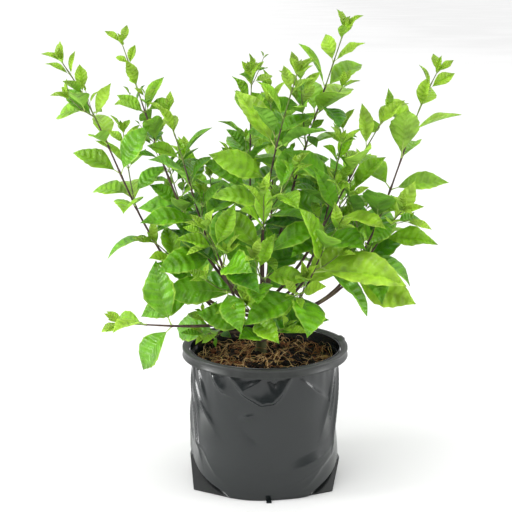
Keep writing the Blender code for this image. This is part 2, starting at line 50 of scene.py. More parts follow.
import bmesh
import bpy
import numpy as np
from mathutils import Matrix, Vector, noise
from mathutils.bvhtree import BVHTree

MASSES = sorted(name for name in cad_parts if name.startswith("foliage_"))
LIMBS = sorted(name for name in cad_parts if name.startswith("bough_"))
print(len(MASSES), "masses of leaves on", len(LIMBS), "boughs")

# %% [markdown]
# ## Hanging a piece on the frame
# Every finished piece is told which body it moves with, and the CAD solids that it stands for are
# hidden. This plant has no joints, so everything rides on the one body called root. One small helper
# does both.

# %% Finish a piece
def hang(piece, finish, *nodes):
    """Lets a piece ride on the part and hides the solids that it stands for. The finish is not used.
    """
    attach(piece, "root")
    if nodes:
        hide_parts(*nodes)
    print(piece.name, len(piece.data.polygons), "faces")


def piece_from(name, bm, *materials):
    """Turns a bmesh into a smooth-shaded object that wears the given materials."""
    mesh = bpy.data.meshes.new(name)
    bm.to_mesh(mesh)
    bm.free()
    return piece_of(name, mesh, *materials)


def piece_of(name, mesh, *materials):
    """Puts a mesh into the scene as a smooth-shaded object."""
    mesh.shade_smooth()
    for material in materials:
        mesh.materials.append(material)
    piece = bpy.data.objects.new(name, mesh)
    bpy.context.scene.collection.objects.link(piece)
    return piece


# %% [markdown]
# ## Materials from nodes
# All the finishes start from the Principled shader. A helper makes the shader with its plain
# numbers set straight on the sockets, and two more add a pattern: one mixes colours by a noise
# that reads Object coordinates, and one turns a noise into a slight bump. Object coordinates stay
# glued to the mesh, so the pattern is the same from every side. Most finishes need just these
# steps, so the last helper takes their numbers in one call.

# %% Shader helpers
def shader_of(name, colour, roughness, specular):
    """A new material, its tree and its Principled shader."""
    material = bpy.data.materials.new(name)
    material.use_nodes = True
    tree = material.node_tree
    shader = tree.nodes["Principled BSDF"]
    shader.inputs["Base Color"].default_value = (*colour, 1)
    shader.inputs["Roughness"].default_value = roughness
    shader.inputs["Specular IOR Level"].default_value = specular
    return material, tree, shader


def noise_in(tree, scale, detail, stretch=(1, 1, 1)):
    """A noise over Object coordinates, squeezed or stretched along each axis."""
    place = tree.nodes.new("ShaderNodeTexCoord")
    mapping = tree.nodes.new("ShaderNodeMapping")
    mapping.inputs["Scale"].default_value = stretch
    tree.links.new(place.outputs["Object"], mapping.inputs["Vector"])
    pattern = tree.nodes.new("ShaderNodeTexNoise")
    pattern.inputs["Scale"].default_value = scale
    pattern.inputs["Detail"].default_value = detail
    tree.links.new(mapping.outputs["Vector"], pattern.inputs["Vector"])
    return pattern.outputs["Fac"]


def ramp(tree, factor, stops):
    """A colour ramp over a pattern: stops are (place, colour) pairs."""
    node = tree.nodes.new("ShaderNodeValToRGB")
    points = node.color_ramp.elements
    while len(points) < len(stops):
        points.new(0.5)
    for point, (place, colour) in zip(points, stops):
        point.position = place
        point.color = (*colour, 1)
    tree.links.new(factor, node.inputs["Fac"])
    return node.outputs["Color"]


def grey(value):
    """A grey as a colour."""
    return (value, value, value)


def bump(tree, shader, height, distance, strength, under=None):
    """Lets a pattern push the surface's shading in and out by a distance in metres."""
    node = tree.nodes.new("ShaderNodeBump")
    node.inputs["Strength"].default_value = strength
    node.inputs["Distance"].default_value = distance
    tree.links.new(height, node.inputs["Height"])
    if under:
        tree.links.new(under, node.inputs["Normal"])
    tree.links.new(node.outputs["Normal"], shader.inputs["Normal"])
    return node.outputs["Normal"]


def finish_of(name, colour, roughness, specular, shades=None, relief=None):
    """A finish whose colour and relief follow noises. Shades are a noise's numbers and a ramp's
    stops. Relief is a noise's numbers, a depth in metres and a strength."""
    material, tree, shader = shader_of(name, colour, roughness, specular)
    if shades:
        pattern, stops = shades
        tree.links.new(ramp(tree, noise_in(tree, *pattern), stops), shader.inputs["Base Color"])
    if relief:
        pattern, depth, strength = relief
        bump(tree, shader, noise_in(tree, *pattern), depth, strength)
    return material


# %% [markdown]
# ## Floor, light and camera
# The plant stands on a seamless white floor in a bright room. Most of the light comes down from a
# pale ceiling, so the world is brighter the higher one looks, and dimmer low down in front, where
# the photographer stands. That dim side is what lets black film show its creases. A wide sun lamp
# adds a little direction, and two softboxes put long lights on the sides of the bag.

# %% The floor
FLOOR_REACH = 40.0
# The floor's own grey, and the grey of the painted shade far behind and on the right
FLOOR_SHADE, FLOOR_PAINTED_SHADE = 0.79, 0.63
# The stretch behind the plant, and that from left to right, over which painted shade greys the floor
PAINTED_SHADE_BEHIND, PAINTED_SHADE_RIGHT = (2.0, 9.0), (-2.0, 2.2)


def between(tree, value, low, high, out_low, out_high):
    """Maps a value from one range to another and keeps it inside."""
    node = tree.nodes.new("ShaderNodeMapRange")
    limits = {"From Min": low, "From Max": high, "To Min": out_low, "To Max": out_high}
    for name, number in limits.items():
        node.inputs[name].default_value = number
    tree.links.new(value, node.inputs["Value"])
    return node.outputs["Result"]


def product_of(tree, one, other):
    """Multiplies two values."""
    node = tree.nodes.new("ShaderNodeMath")
    node.operation = "MULTIPLY"
    tree.links.new(one, node.inputs[0])
    tree.links.new(other, node.inputs[1])
    return node.outputs["Value"]


def floor_material():
    """White paint with painted shade: greyer far behind the plant, most on the right, in clouds."""
    material, tree, shader = shader_of("white floor", grey(FLOOR_SHADE), 0.9, 0.1)
    place = tree.nodes.new("ShaderNodeTexCoord")
    parts = tree.nodes.new("ShaderNodeSeparateXYZ")
    tree.links.new(place.outputs["Object"], parts.inputs["Vector"])
    far = between(tree, parts.outputs["Y"], *PAINTED_SHADE_BEHIND, 0, 1)
    right = between(tree, parts.outputs["X"], *PAINTED_SHADE_RIGHT, 0.1, 1)
    cloud = between(tree, noise_in(tree, 1.3, 5), 0.35, 0.65, 0.82, 1.12)
    # Painted shade: how far the floor turns to the darker grey
    shade = product_of(tree, product_of(tree, far, right), cloud)
    shades = ramp(tree, shade, [(0, grey(FLOOR_SHADE)), (1, grey(FLOOR_PAINTED_SHADE))])
    tree.links.new(shades, shader.inputs["Base Color"])
    return material


bm = bmesh.new()
bmesh.ops.create_grid(bm, x_segments=8, y_segments=8, size=FLOOR_REACH)
floor = piece_from("floor", bm, floor_material())
print("the floor reaches", FLOOR_REACH, "m out")

# %% Lights
CEILING, HORIZON = 1.75, 0.50
# How dim the front is, and between which Y of a direction the room turns from dim to full
FRONT_DIM, FRONT_SPAN = 0.28, (-0.95, -0.25)

bpy.context.scene.view_settings.view_transform = "Standard"
world = bpy.data.worlds.new("pale room")
world.use_nodes = True
sky = world.node_tree
backdrop = sky.nodes["Background"]
backdrop.inputs["Color"].default_value = (1, 1, 1, 1)
direction = sky.nodes.new("ShaderNodeTexCoord")
parts = sky.nodes.new("ShaderNodeSeparateXYZ")
sky.links.new(direction.outputs["Generated"], parts.inputs["Vector"])
brightness = between(sky, parts.outputs["Z"], 0, 1, HORIZON, CEILING)
dimming = between(sky, parts.outputs["Y"], *FRONT_SPAN, FRONT_DIM, 1)
sky.links.new(product_of(sky, brightness, dimming), backdrop.inputs["Strength"])
bpy.context.scene.world = world


def soft_light(name, place, aim, size, power):
    """A square area light that faces a point."""
    lamp = bpy.data.lights.new(name, "AREA")
    lamp.energy = power
    lamp.size = size
    light = bpy.data.objects.new(name, lamp)
    light.location = place
    light.rotation_euler = (Vector(aim) - Vector(place)).to_track_quat("-Z", "Y").to_euler()
    bpy.context.scene.collection.objects.link(light)


WINDOW_STRENGTH = 0.9
WINDOW_WIDE = math.radians(42)
WINDOW_AIM = Vector((0.45, 0.55, -1.0))
window = bpy.data.lights.new("window", "SUN")
window.energy = WINDOW_STRENGTH
window.angle = WINDOW_WIDE
sunlight = bpy.data.objects.new("window", window)
sunlight.rotation_euler = WINDOW_AIM.to_track_quat("-Z", "Y").to_euler()
bpy.context.scene.collection.objects.link(sunlight)
BAG_MIDDLE = (0, 0, 0.1)
soft_light("left softbox", (-1.3, -0.25, 0.40), BAG_MIDDLE, 0.45, 11)
soft_light("right softbox", (1.3, -0.20, 0.40), BAG_MIDDLE, 0.40, 6)

# %% Camera
CAMERA_TILT = math.radians(12.7)
CAMERA_DISTANCE = 1.35
CAMERA_AIM = Vector((-0.0098, 0.0, 0.25))
# The lens in pixels of the frame, the frame's width and the sensor's width in millimetres
LENS_PIXELS = 1245
FRAME_PIXELS = 512
SENSOR = 36

ahead = Vector((0, math.cos(CAMERA_TILT), -math.sin(CAMERA_TILT)))
lens = bpy.data.cameras.new("camera")
lens.sensor_width = SENSOR
lens.lens = LENS_PIXELS * SENSOR / FRAME_PIXELS
camera = bpy.data.objects.new("camera", lens)
camera.location = CAMERA_AIM - CAMERA_DISTANCE * ahead
camera.rotation_euler = ahead.to_track_quat("-Z", "Y").to_euler()
bpy.context.scene.collection.objects.link(camera)
bpy.context.scene.camera = camera
print("lens", round(lens.lens, 1), "mm")

# %% [markdown]
# ## The plant's rule of growth
# The solids were grown by a rule: each bough is a curve from the trunk, its stem carries pairs of
# leaves a quarter turn apart, and a leaf that would touch another is turned a little or left
# out. All the choices come from a seed. The same rule is written out here, with the same numbers,
# so that every leaf of the picture lies where its solid lies. First come the named sizes.

# %% Sizes of the plant
UP = Vector((0, 0, 1))
# Where turns round a stem are counted from
SIDE = Vector((0.31, -0.83, 0.17))
GAP = 0.0003
COLLAR_RADIUS = 0.091
COLLAR_INNER_RADIUS = 0.0831
COLLAR_TOP = 0.150
COLLAR_HEIGHT = 0.0098
COLLAR_SKIRT = 0.0030
COLLAR_FLANGE = 0.0042
BAG_TOP = COLLAR_TOP - 0.0010
SOIL_TOP = 0.1325
SOIL_MOUND = 0.0035
TRUNK_FOOT = Vector((-0.005, 0.0, SOIL_TOP + SOIL_MOUND + GAP))
TRUNK_HEIGHT = 0.068
TRUNK_LEAN = Vector((0.05, 0.02))
TRUNK_FLARE_RADIUS = 0.0076
TRUNK_RADIUS = 0.0056
TRUNK_TOP_RADIUS = 0.0050
TRUNK_SIDES = 12
BOUGH_OFFSET = 0.0036
BOUGH_FOOT_RADIUS = 0.0024
BOUGH_TIP_RADIUS = 0.0018
BOUGH_SIDES = 6
BOUGH_STEPS = 5
STEM_RADIUS = 0.0016
STEM_TIP_RADIUS = 0.0007
STEM_SIDES = 3
STEM_STEPS = 6
TWIG_RADIUS = 0.0011
TWIG_STEPS = 3
TWIG_CHANCE = 0.42
TWIG_LEAST = 0.022
# A twig's joints and leaves, as shares of those of its stem
TWIG_JOINT = 0.8
TWIG_BLADE = 0.8
LEAF_PETIOLE = 0.13
LEAF_STAGGER = 0.0009
LEAF_TILT_TRIES = 7
LEAF_GUARD = 0.0011
STEM_GUARD = 0.0005
LEAF_SIZES = (0.92, 1.0, 1.0, 0.92, 0.76, 0.52, 0.30)
# The way that the leaves turn their upper faces, up and a little to the front
LIGHT = Vector((0.0, -0.55, 0.85))
print("the trunk forks", round(TRUNK_FOOT.z + TRUNK_HEIGHT, 3), "m above the floor")

# %% The boughs
class Bough(NamedTuple):
    """One bough and the mass of leaves that carries it on."""

    name: str
    foot: float  # height of its foot up the trunk
    turn: float  # bearing of its tip, in degrees anticlockwise from +X
    sweep: float  # how many degrees its bearing swings from foot to tip
    reach: float  # how far out its tip is
    rise: float  # how far its tip is above its foot
    bow: float  # how much of its way out it makes before it rises
    bare: float  # share of its length that has no leaves
    blade: float  # length of its longest leaves
    joint: float  # distance between its lowest pairs of leaves
    first_turn: float  # how far its first pair is turned round it, in degrees
    seed: int


BOUGHS = (
    Bough("left_outer", 0.044, 193, 25, 0.205, 0.281, 0.90, 0.40, 0.068, 0.043, 55, 236),
    Bough("left_inner", 0.056, 162, -41, 0.157, 0.282, 0.53, 0.40, 0.054, 0.044, 160, 651),
    Bough("right_outer", 0.054, 6, 40, 0.183, 0.256, 1.10, 0.38, 0.072, 0.041, 55, 666),
    Bough("centre_tall", 0.0685, 16, -20, 0.086, 0.287, -0.10, 0.36, 0.076, 0.042, 40, 171),
    Bough("left_low", 0.044, 204, -18, 0.158, 0.012, 0.60, 0.55, 0.065, 0.031, 85, 414),
    Bough("right_low", 0.04, 336, -60, 0.152, 0.134, 1.10, 0.42, 0.087, 0.041, 55, 563),
    Bough("centre_left", 0.0685, 108, -30, 0.038, 0.238, 0.80, 0.30, 0.066, 0.032, 100, 933),
    Bough("centre_front", 0.0685, 305, 55, 0.055, 0.245, 0.00, 0.32, 0.076, 0.043, 15, 645),
    Bough("right_mid", 0.062, 350, 20, 0.127, 0.209, 0.30, 0.36, 0.083, 0.042, 0, 305),
    Bough("right_inner", 0.06, 330, -60, 0.089, 0.182, 1.00, 0.34, 0.072, 0.038, 125, 137),
    Bough("left_mid", 0.062, 178, -50, 0.099, 0.205, 1.00, 0.36, 0.070, 0.042, 135, 879),
    Bough("front_left", 0.05, 234, 0, 0.095, 0.108, 0.80, 0.34, 0.079, 0.035, 95, 713),
    Bough("left_side", 0.038, 192, 5, 0.112, 0.095, 0.80, 0.38, 0.072, 0.043, 90, 32),
    Bough("front_right", 0.046, 312, 0, 0.107, 0.113, 0.80, 0.34, 0.097, 0.036, 150, 997),
    Bough("front_middle", 0.06, 270, 0, 0.077, 0.135, 0.80, 0.30, 0.070, 0.036, 140, 580),
    Bough("front", 0.03, 256, -10, 0.064, 0.044, 0.50, 0.40, 0.067, 0.014, 55, 352),
    Bough("back_left", 0.052, 128, 0, 0.147, 0.156, 0.80, 0.32, 0.078, 0.053, 165, 289),
    Bough("back", 0.058, 84, 0, 0.137, 0.169, 0.80, 0.32, 0.085, 0.041, 65, 740),
    Bough("back_right", 0.05, 42, 0, 0.147, 0.148, 0.80, 0.32, 0.068, 0.043, 10, 9),
    Bough("back_low", 0.04, 100, 0, 0.122, 0.046, 0.60, 0.38, 0.079, 0.035, 65, 942),
    Bough("rim_left", 0.029, 212, 20, 0.068, 0.007, 0.60, 0.46, 0.070, 0.026, 0, 870),
    Bough("rim_right", 0.021, 288, 20, 0.072, 0.031, 0.60, 0.43, 0.064, 0.032, 110, 202),
)
print(len(BOUGHS), "boughs, the longest reaches", max(bough.reach for bough in BOUGHS), "m out")

# %% [markdown]
# ### Lines in space
# A limb, a stem and a leaf's rib are all lines. These helpers find a point along a line, blend
# two values, and give the unit direction that is square to a line, which is what sets a leaf's
# face or a ring of bark.

# %% Lines and rings
class Leaf(NamedTuple):
    """One leaf: where it starts, which way its rib sets off, and which way its upper face looks."""

    root: Vector
    ahead: Vector
    face: Vector
    length: float
    width: float
    arch: float  # how far the rib bends down over its length, in radians
    fold: float  # how far each half is folded up, in radians
    age: float  # 0 at a shoot's foot, 1 at its tip


class Shoot(NamedTuple):
    """A stem or twig: the points of its line, and its radius at each end."""

    line: list
    foot_radius: float
    tip_radius: float


def along(line, share):
    """The point at a share of a line's steps, and the line's direction there."""
    at = min(max(share, 0.0), 1.0) * (len(line) - 1)
    step = min(int(at), len(line) - 2)
    here = line[step].lerp(line[step + 1], at - step)
    return here, (line[step + 1] - line[step]).normalized()


def length_of(line):
    return sum((b - a).length for a, b in zip(line, line[1:]))


def square_to(direction, hint):
    """The unit direction nearest to hint that is square to direction."""
    return (hint - direction * hint.dot(direction)).normalized()


def blend(low, high, share):
    return low + (high - low) * share


def ring_matrix(here, ahead, radius):
    """Puts a unit ring round a line at a point, with its first corner turned to SIDE."""
    ahead = ahead.normalized()
    first = square_to(ahead, SIDE)
    turn = Matrix((first, ahead.cross(first), ahead)).transposed().to_4x4()
    return Matrix.Translation(here) @ turn @ Matrix.Scale(radius, 4)


def unit_ring(sides):
    turns = (2 * math.pi * k / sides for k in range(sides))
    return [Vector((math.cos(turn), math.sin(turn), 0)) for turn in turns]


print("a ring of", len(unit_ring(BOUGH_SIDES)), "corners")

# %% The trunk and the boughs as lines
def trunk_point(height):
    return TRUNK_FOOT + Vector((*(TRUNK_LEAN * height), height))


def trunk_radius(height):
    """The trunk's radius: a flare at the root, then an even taper to the fork."""
    flare = (TRUNK_FLARE_RADIUS - TRUNK_RADIUS) * math.exp(-height / 0.006)
    return flare + blend(TRUNK_RADIUS, TRUNK_TOP_RADIUS, height / TRUNK_HEIGHT)


def bough_point(bough, share):
    """A point on a bough's line, which goes outwards first and rises later, by its bow."""
    delay = bough.bow * share * (1 - share) ** 2
    bearing = math.radians(bough.turn - bough.sweep * (1 - share))
    outward = Vector((math.cos(bearing), math.sin(bearing), 0))
    start = trunk_point(bough.foot) + outward * BOUGH_OFFSET
    return start + outward * bough.reach * (share + delay) + UP * bough.rise * (share - delay)


def outside_trunk(point):
    """How far a point is outside the trunk, sideways or above its fork."""
    height = point.z - TRUNK_FOOT.z
    sideways = (point - trunk_point(height)).xy.length - trunk_radius(min(height, TRUNK_HEIGHT))
    return max(sideways, height - TRUNK_HEIGHT)


def bough_start(bough):
    """The share of a bough's line at which its whole foot has left the trunk by the gap."""
    share = 0.0
    while share < 0.5:
        corners = []
        for ahead in (0.0, 0.01, 0.02, 0.03):
            here = bough_point(bough, share + ahead)
            there = bough_point(bough, share + ahead + 0.01)
            ring = ring_matrix(here, there - here, BOUGH_FOOT_RADIUS)
            corners += [ring @ corner for corner in unit_ring(2 * BOUGH_SIDES)]
        if min(outside_trunk(corner) for corner in corners) > GAP:
            return share
        share += 0.001
    return share


def bough_line(bough):
    first, last = bough_start(bough), bough.bare
    return [bough_point(bough, blend(first, last, i / BOUGH_STEPS)) for i in range(BOUGH_STEPS + 1)]


def stem_line(bough):
    """The line of the stem that carries a bough on through its mass, from the gap to the tip."""
    first = bough.bare + GAP / (bough.reach + bough.rise)
    while (bough_point(bough, first) - bough_point(bough, bough.bare)).length < GAP:
        first += 0.0002
    return [bough_point(bough, blend(first, 1, i / STEM_STEPS)) for i in range(STEM_STEPS + 1)]


print("the first bough leaves the trunk at", round(bough_start(BOUGHS[0]), 3), "of its length")

# %% [markdown]
# ### Leaves on a line
# Each leaf sets off from its stem at an angle, then bends down along its rib and folds up along
# it. The young leaves near a tip stand steeper, are shorter and are folded more.

# %% Where a leaf goes
def leaf_point(leaf, share, across, lift=0.0):
    """The point of a leaf at a share of its length, from -1 to 1 across, lifted off its rib."""
    bend = max(leaf.arch, 1e-4) * share
    forward = math.sin(bend) / max(leaf.arch, 1e-4)
    drop = (1 - math.cos(bend)) / max(leaf.arch, 1e-4)
    rib = leaf.root + (leaf.ahead * forward - leaf.face * drop) * leaf.length
    face = leaf.face * math.cos(bend) + leaf.ahead * math.sin(bend)
    side = leaf.ahead.cross(leaf.face)
    half = half_width(leaf, share)
    out = side * across * half * math.cos(leaf.fold)
    return rib + out + face * (abs(across) * half * math.sin(leaf.fold) + lift)


def half_width(leaf, share):
    """Half the leaf's width: a slender petiole, a wedge-shaped base and a pointed tip."""
    if share < LEAF_PETIOLE:
        return 0.02 * leaf.length
    blade = (share - LEAF_PETIOLE) / (1 - LEAF_PETIOLE)
    return 0.5 * leaf.width * math.sin(math.pi * blade**0.9) + 0.02 * leaf.length * (1 - blade)


def leaf_on(line, share, bearing, spread, size, age, rng):
    """A leaf that leaves a line at a bearing round it, spread from its direction."""
    root, ahead = along(line, share)
    level = square_to(ahead, SIDE)
    outward = Matrix.Rotation(bearing, 3, ahead) @ level
    aim = ahead * math.cos(spread) + outward * math.sin(spread) + UP * 0.15
    aim.normalize()
    face = square_to(aim, ahead * 0.35 + LIGHT)
    face = Matrix.Rotation(rng.gauss(0, 0.30), 3, aim) @ face
    length = size * rng.uniform(0.86, 1.12)
    width = length * rng.uniform(0.42, 0.54) * blend(1, 0.86, age)
    arch = blend(0.75, 0.35, age) * rng.uniform(0.5, 1.3)
    fold = math.radians(blend(12, 28, age)) * rng.uniform(0.7, 1.3)
    return Leaf(root, aim, face, length, width, arch, fold, age)


def size_at(age):
    """How long a leaf is along a shoot, as a share of the longest."""
    at = age * (len(LEAF_SIZES) - 1)
    step = min(int(at), len(LEAF_SIZES) - 2)
    return blend(LEAF_SIZES[step], LEAF_SIZES[step + 1], at - step)


def pair_shares(line, joint):
    """The places of the pairs along a line, closer together towards its tip."""
    total, at, found = length_of(line), 0.35 * joint, []
    while at < total - 0.25 * joint:
        found.append(at / total)
        at += joint * blend(1.0, 0.5, at / total)
    return found + [0.985]


# %% [markdown]
# ### Keeping clear
# Before a leaf is placed it is tested against everything that is there already. The test uses a
# slightly swollen, coarse copy of each piece and a tree of its faces, which finds crossings fast.

# %% Guards
class Guard:
    """A shape a little larger than a piece, that other pieces must keep out of. Pieces of the
    same mass meet at their roots, so among themselves they only mind the part beyond these."""

    def __init__(self, owner, rings, root):
        self.owner = owner
        self.points = [point for ring in rings for point in ring]
        self.middle = sum(self.points, Vector()) / len(self.points)
        self.radius = max((point - self.middle).length for point in self.points)
        self.rings = rings
        self.root = root
        self.trees = {}

    def tree(self, whole):
        """The surface through all the rings, or through those beyond the root."""
        if whole not in self.trees:
            rings = self.rings if whole else self.rings[self.root :]
            size = len(rings[0])
            faces = [tuple(range(size)), tuple(range(len(rings) * size - size, len(rings) * size))]
            for low in range(0, (len(rings) - 1) * size, size):
                for i in range(size):
                    j = (i + 1) % size
                    faces.append((low + i, low + j, low + size + j, low + size + i))
            points = [point for ring in rings for point in ring]
            self.trees[whole] = BVHTree.FromPolygons(points, faces)
        return self.trees[whole]

    def touches(self, other):
        if (self.middle - other.middle).length > self.radius + other.radius:
            return False
        whole = self.owner != other.owner
        return bool(self.tree(whole).overlap(other.tree(whole)))


def leaf_guard(owner, leaf):
    rings = []
    for share in (0.06, 0.24, 0.42, 0.60, 0.80, 1.0):
        middle = leaf_point(leaf, share, 0)
        up = (leaf_point(leaf, share, 0, 1) - middle).normalized() * LEAF_GUARD
        edge = 1 + LEAF_GUARD / half_width(leaf, share) if share < 1 else 1
        near, far = leaf_point(leaf, share, -edge), leaf_point(leaf, share, edge)
        rings.append((near, middle + up, far, middle - up))
    return Guard(owner, rings, 1)


def limb_guard(owner, shoot, sides, margin, root=0):
    rings = []
    last = len(shoot.line) - 1
    for i, here in enumerate(shoot.line):
        ahead = shoot.line[min(i + 1, last)] - shoot.line[max(i - 1, 0)]
        radius = blend(shoot.foot_radius, shoot.tip_radius, i / last) + margin
        ring = ring_matrix(here, ahead, radius)
        rings.append([ring @ corner for corner in unit_ring(sides)])
    return Guard(owner, rings, root)


def place(guards, guard):
    """Adds a guard to those of the pieces already placed, if it keeps clear of them all."""
    if any(guard.touches(placed) for placed in guards):
        return False
    guards.append(guard)
    return True


def try_leaf(guards, owner, line, share, bearing, spread, size, age, rng):
    """The first of a few turned copies of a leaf that keeps clear, or None."""
    for attempt in range(LEAF_TILT_TRIES):
        swing = math.radians(11) * ((attempt + 1) // 2) * (1 if attempt % 2 else -1)
        leaf = leaf_on(line, share, bearing + swing, spread, size, age, rng)
        if place(guards, leaf_guard(owner, leaf)):
            return leaf
    return None


# %% Growing the masses
class Growth(NamedTuple):
    """What one mass holds: its stem, its twigs and its leaves."""

    stem: Shoot
    twigs: list
    leaves: list


def grow_pairs(guards, owner, line, joint, blade, first_turn, rng):
    """Opposite pairs of leaves up a line, each a quarter turn from the last."""
    leaves = []
    stagger = LEAF_STAGGER / length_of(line)
    for number, share in enumerate(pair_shares(line, joint)):
        bearing = first_turn + number * math.pi / 2 + rng.gauss(0, 0.18)
        spread = math.radians(blend(74, 30, share) + rng.gauss(0, 5))
        for opposite, shift in ((0, 0), (math.pi, -stagger)):
            size = blade * size_at(share)
            turn, at = bearing + opposite, share + shift
            leaf = try_leaf(guards, owner, line, at, turn, spread, size, share, rng)
            if leaf:
                leaves.append(leaf)
    return leaves


def twig_line(stem, share, bearing, size):
    """A twig from a leaf's axil, which sets off outwards and turns up."""
    root, ahead = along(stem, share)
    outward = Matrix.Rotation(bearing, 3, ahead) @ square_to(ahead, SIDE)
    aim = (ahead * 0.75 + outward * 0.65).normalized()
    steps = [size * i / TWIG_STEPS for i in range(TWIG_STEPS + 1)]
    return [root + aim * step + UP * (0.25 * step * step / size) for step in steps]


def grow_mass(guards, bough, stem):
    """The twigs and leaves of one mass, by a rule whose choices come from the bough's seed."""
    rng = random.Random(bough.seed)
    turn = math.radians(bough.first_turn)
    total = length_of(stem.line)
    twigs = []
    for number, share in enumerate(pair_shares(stem.line, bough.joint)[:-2]):
        share += 2 * LEAF_STAGGER / total
        bearing = turn + number * math.pi / 2 + rng.choice((0, math.pi))
        size = total * (1 - share) * rng.uniform(0.30, 0.52)
        if rng.random() < TWIG_CHANCE and size > TWIG_LEAST:
            twig = Shoot(twig_line(stem.line, share, bearing, size), TWIG_RADIUS, STEM_TIP_RADIUS)
            if place(guards, limb_guard(bough.name, twig, STEM_SIDES, LEAF_GUARD, 1)):
                twigs.append(twig)
    leaves = grow_pairs(guards, bough.name, stem.line, bough.joint, bough.blade, turn, rng)
    for twig in twigs:
        joint, blade = TWIG_JOINT * bough.joint, TWIG_BLADE * bough.blade
        first_turn = rng.uniform(0, math.pi)
        leaves += grow_pairs(guards, bough.name, twig.line, joint, blade, first_turn, rng)
    return Growth(stem, twigs, leaves)


def pot_guards():
    """The rim of the pot and the top of the coir, as shapes that leaves keep out of."""
    rim = [COLLAR_RADIUS * corner + UP * (COLLAR_TOP + 0.004) for corner in unit_ring(24)]
    floor = [Vector((point.x, point.y, 0)) for point in rim]
    soil = [Vector((point.x, point.y, SOIL_TOP + 2 * SOIL_MOUND)) for point in rim]
    return [Guard("collar", [floor, rim], 0), Guard("medium", [floor, soil], 0)]


def start_guards():
    """The limbs and stems of every bough, and guards round them, the trunk and the pot."""
    guards = pot_guards()
    limbs, stems = {}, {}
    for bough in BOUGHS:
        limbs[bough.name] = Shoot(bough_line(bough), BOUGH_FOOT_RADIUS, BOUGH_TIP_RADIUS)
        stems[bough.name] = Shoot(stem_line(bough), STEM_RADIUS, STEM_TIP_RADIUS)
        owner = "bough " + bough.name
        guards.append(limb_guard(owner, limbs[bough.name], BOUGH_SIDES, LEAF_GUARD))
        guards.append(limb_guard(bough.name, stems[bough.name], STEM_SIDES, STEM_GUARD, 1))
    trunk = Shoot([trunk_point(0), trunk_point(TRUNK_HEIGHT)], TRUNK_RADIUS, TRUNK_TOP_RADIUS)
    guards.append(limb_guard("trunk", trunk, TRUNK_SIDES, LEAF_GUARD))
    return guards, limbs, stems


guards, limbs, stems = start_guards()
growths = {bough.name: grow_mass(guards, bough, stems[bough.name]) for bough in BOUGHS}
print(sum(len(growth.leaves) for growth in growths.values()), "leaves as in the solids")

# %% [markdown]
# ### Finer shoots
# Between the large pairs a real duranta carries small side shoots in the leaf axils, and a tuft
# of very young leaves on every tip. They are grown by the same rule, with a shorter joint and
# smaller leaves, after the large leaves have taken their places.

# %% Side shoots and tip tufts
SPRIG_CHANCE = 0.24
SPRIG_LENGTHS = (0.012, 0.034)
SPRIG_BLADES = (0.022, 0.044)
SPRIG_RADIUS = 0.0006
SPRIG_TIP_RADIUS = 0.7 * SPRIG_RADIUS
# The distance between a side shoot's pairs, as a share of its length
SPRIG_JOINT = 0.55
# No leaf of a side shoot counts as older than this
SPRIG_AGE = 0.6
SPRIG_SEED = 4000
TUFT_BLADES = (0.024, 0.015)
# How far each pair of a tuft stands off its shoot, in degrees
TUFT_SPREADS = (34, 22)


def grow_sprig(guards, owner, line, share, bearing, rng):
    """A side shoot from a leaf's axil, with two or three small pairs, or None where there is
    no room for it."""
    size = rng.uniform(*SPRIG_LENGTHS)
    sprig = Shoot(twig_line(line, share, bearing, size), SPRIG_RADIUS, SPRIG_TIP_RADIUS)
    if not place(guards, limb_guard(owner, sprig, STEM_SIDES, STEM_GUARD, 1)):
        return None
    blade = rng.uniform(*SPRIG_BLADES)
    first_turn = rng.uniform(0, math.pi)
    leaves = grow_pairs(guards, owner, sprig.line, SPRIG_JOINT * size, blade, first_turn, rng)
    young = [leaf._replace(age=max(leaf.age, SPRIG_AGE)) for leaf in leaves]
    return sprig, young


def grow_tuft(line, rng):
    """The youngest leaves, close together on a shoot's very tip."""
    leaves = []
    turn = rng.uniform(0, math.pi)
    for number, (blade, spread) in enumerate(zip(TUFT_BLADES, TUFT_SPREADS)):
        for opposite in (0, math.pi):
            bearing = turn + number * math.pi / 2 + opposite
            leaves.append(leaf_on(line, 1.0, bearing, math.radians(spread), blade, 1.0, rng))
    return leaves


class Fine(NamedTuple):
    """What the picture adds to one mass: its side shoots and its youngest leaves."""

    sprigs: list
    leaves: list


def grow_fine(guards, bough, growth):
    """The side shoots and tufts of one mass, from a seed of their own."""
    rng = random.Random(SPRIG_SEED + bough.seed)
    sprigs, leaves = [], []
    for shoot in [growth.stem, *growth.twigs]:
        for share in pair_shares(shoot.line, bough.joint)[:-1]:
            for _ in range(2):
                bearing = rng.uniform(0, 2 * math.pi)
                if rng.random() > SPRIG_CHANCE:
                    continue
                made = grow_sprig(guards, bough.name, shoot.line, share, bearing, rng)
                if made:
                    sprigs.append(made[0])
                    leaves += made[1]
        leaves += grow_tuft(shoot.line, rng)
    return Fine(sprigs, leaves)


fine = {bough.name: grow_fine(guards, bough, growths[bough.name]) for bough in BOUGHS}
print(sum(len(growth.sprigs) for growth in fine.values()), "side shoots and",
      sum(len(growth.leaves) for growth in fine.values()), "young leaves")

# %% [markdown]
# ## The leaves
# A duranta leaf is a pointed ellipse with a wedge-shaped base. It is folded a little along a pale
# rib, puckered between side veins that run forward to small teeth, and edged by a thin pale
# margin. A flat grid, made once, is the pattern for all the leaves: its rows follow the side
# veins, its outermost strip is the margin, and a coarser grid under it closes the blade. The
# pattern is then bent to each leaf's own place with arrays, because some thousand separate
# objects would be slow. The youngest leaves are small and take a pattern with fewer rows.

# %% The pattern of one leaf
MARGIN = 0.90
LEAF_LINES = (-1, -MARGIN, -0.45, 0, 0.45, MARGIN, 1)
LEAF_ROWS = 15
YOUNG_LINES = (-1, -0.85, 0, 0.85, 1)
YOUNG_ROWS = 6
UNDER_LINES = (-1, 0, 1)


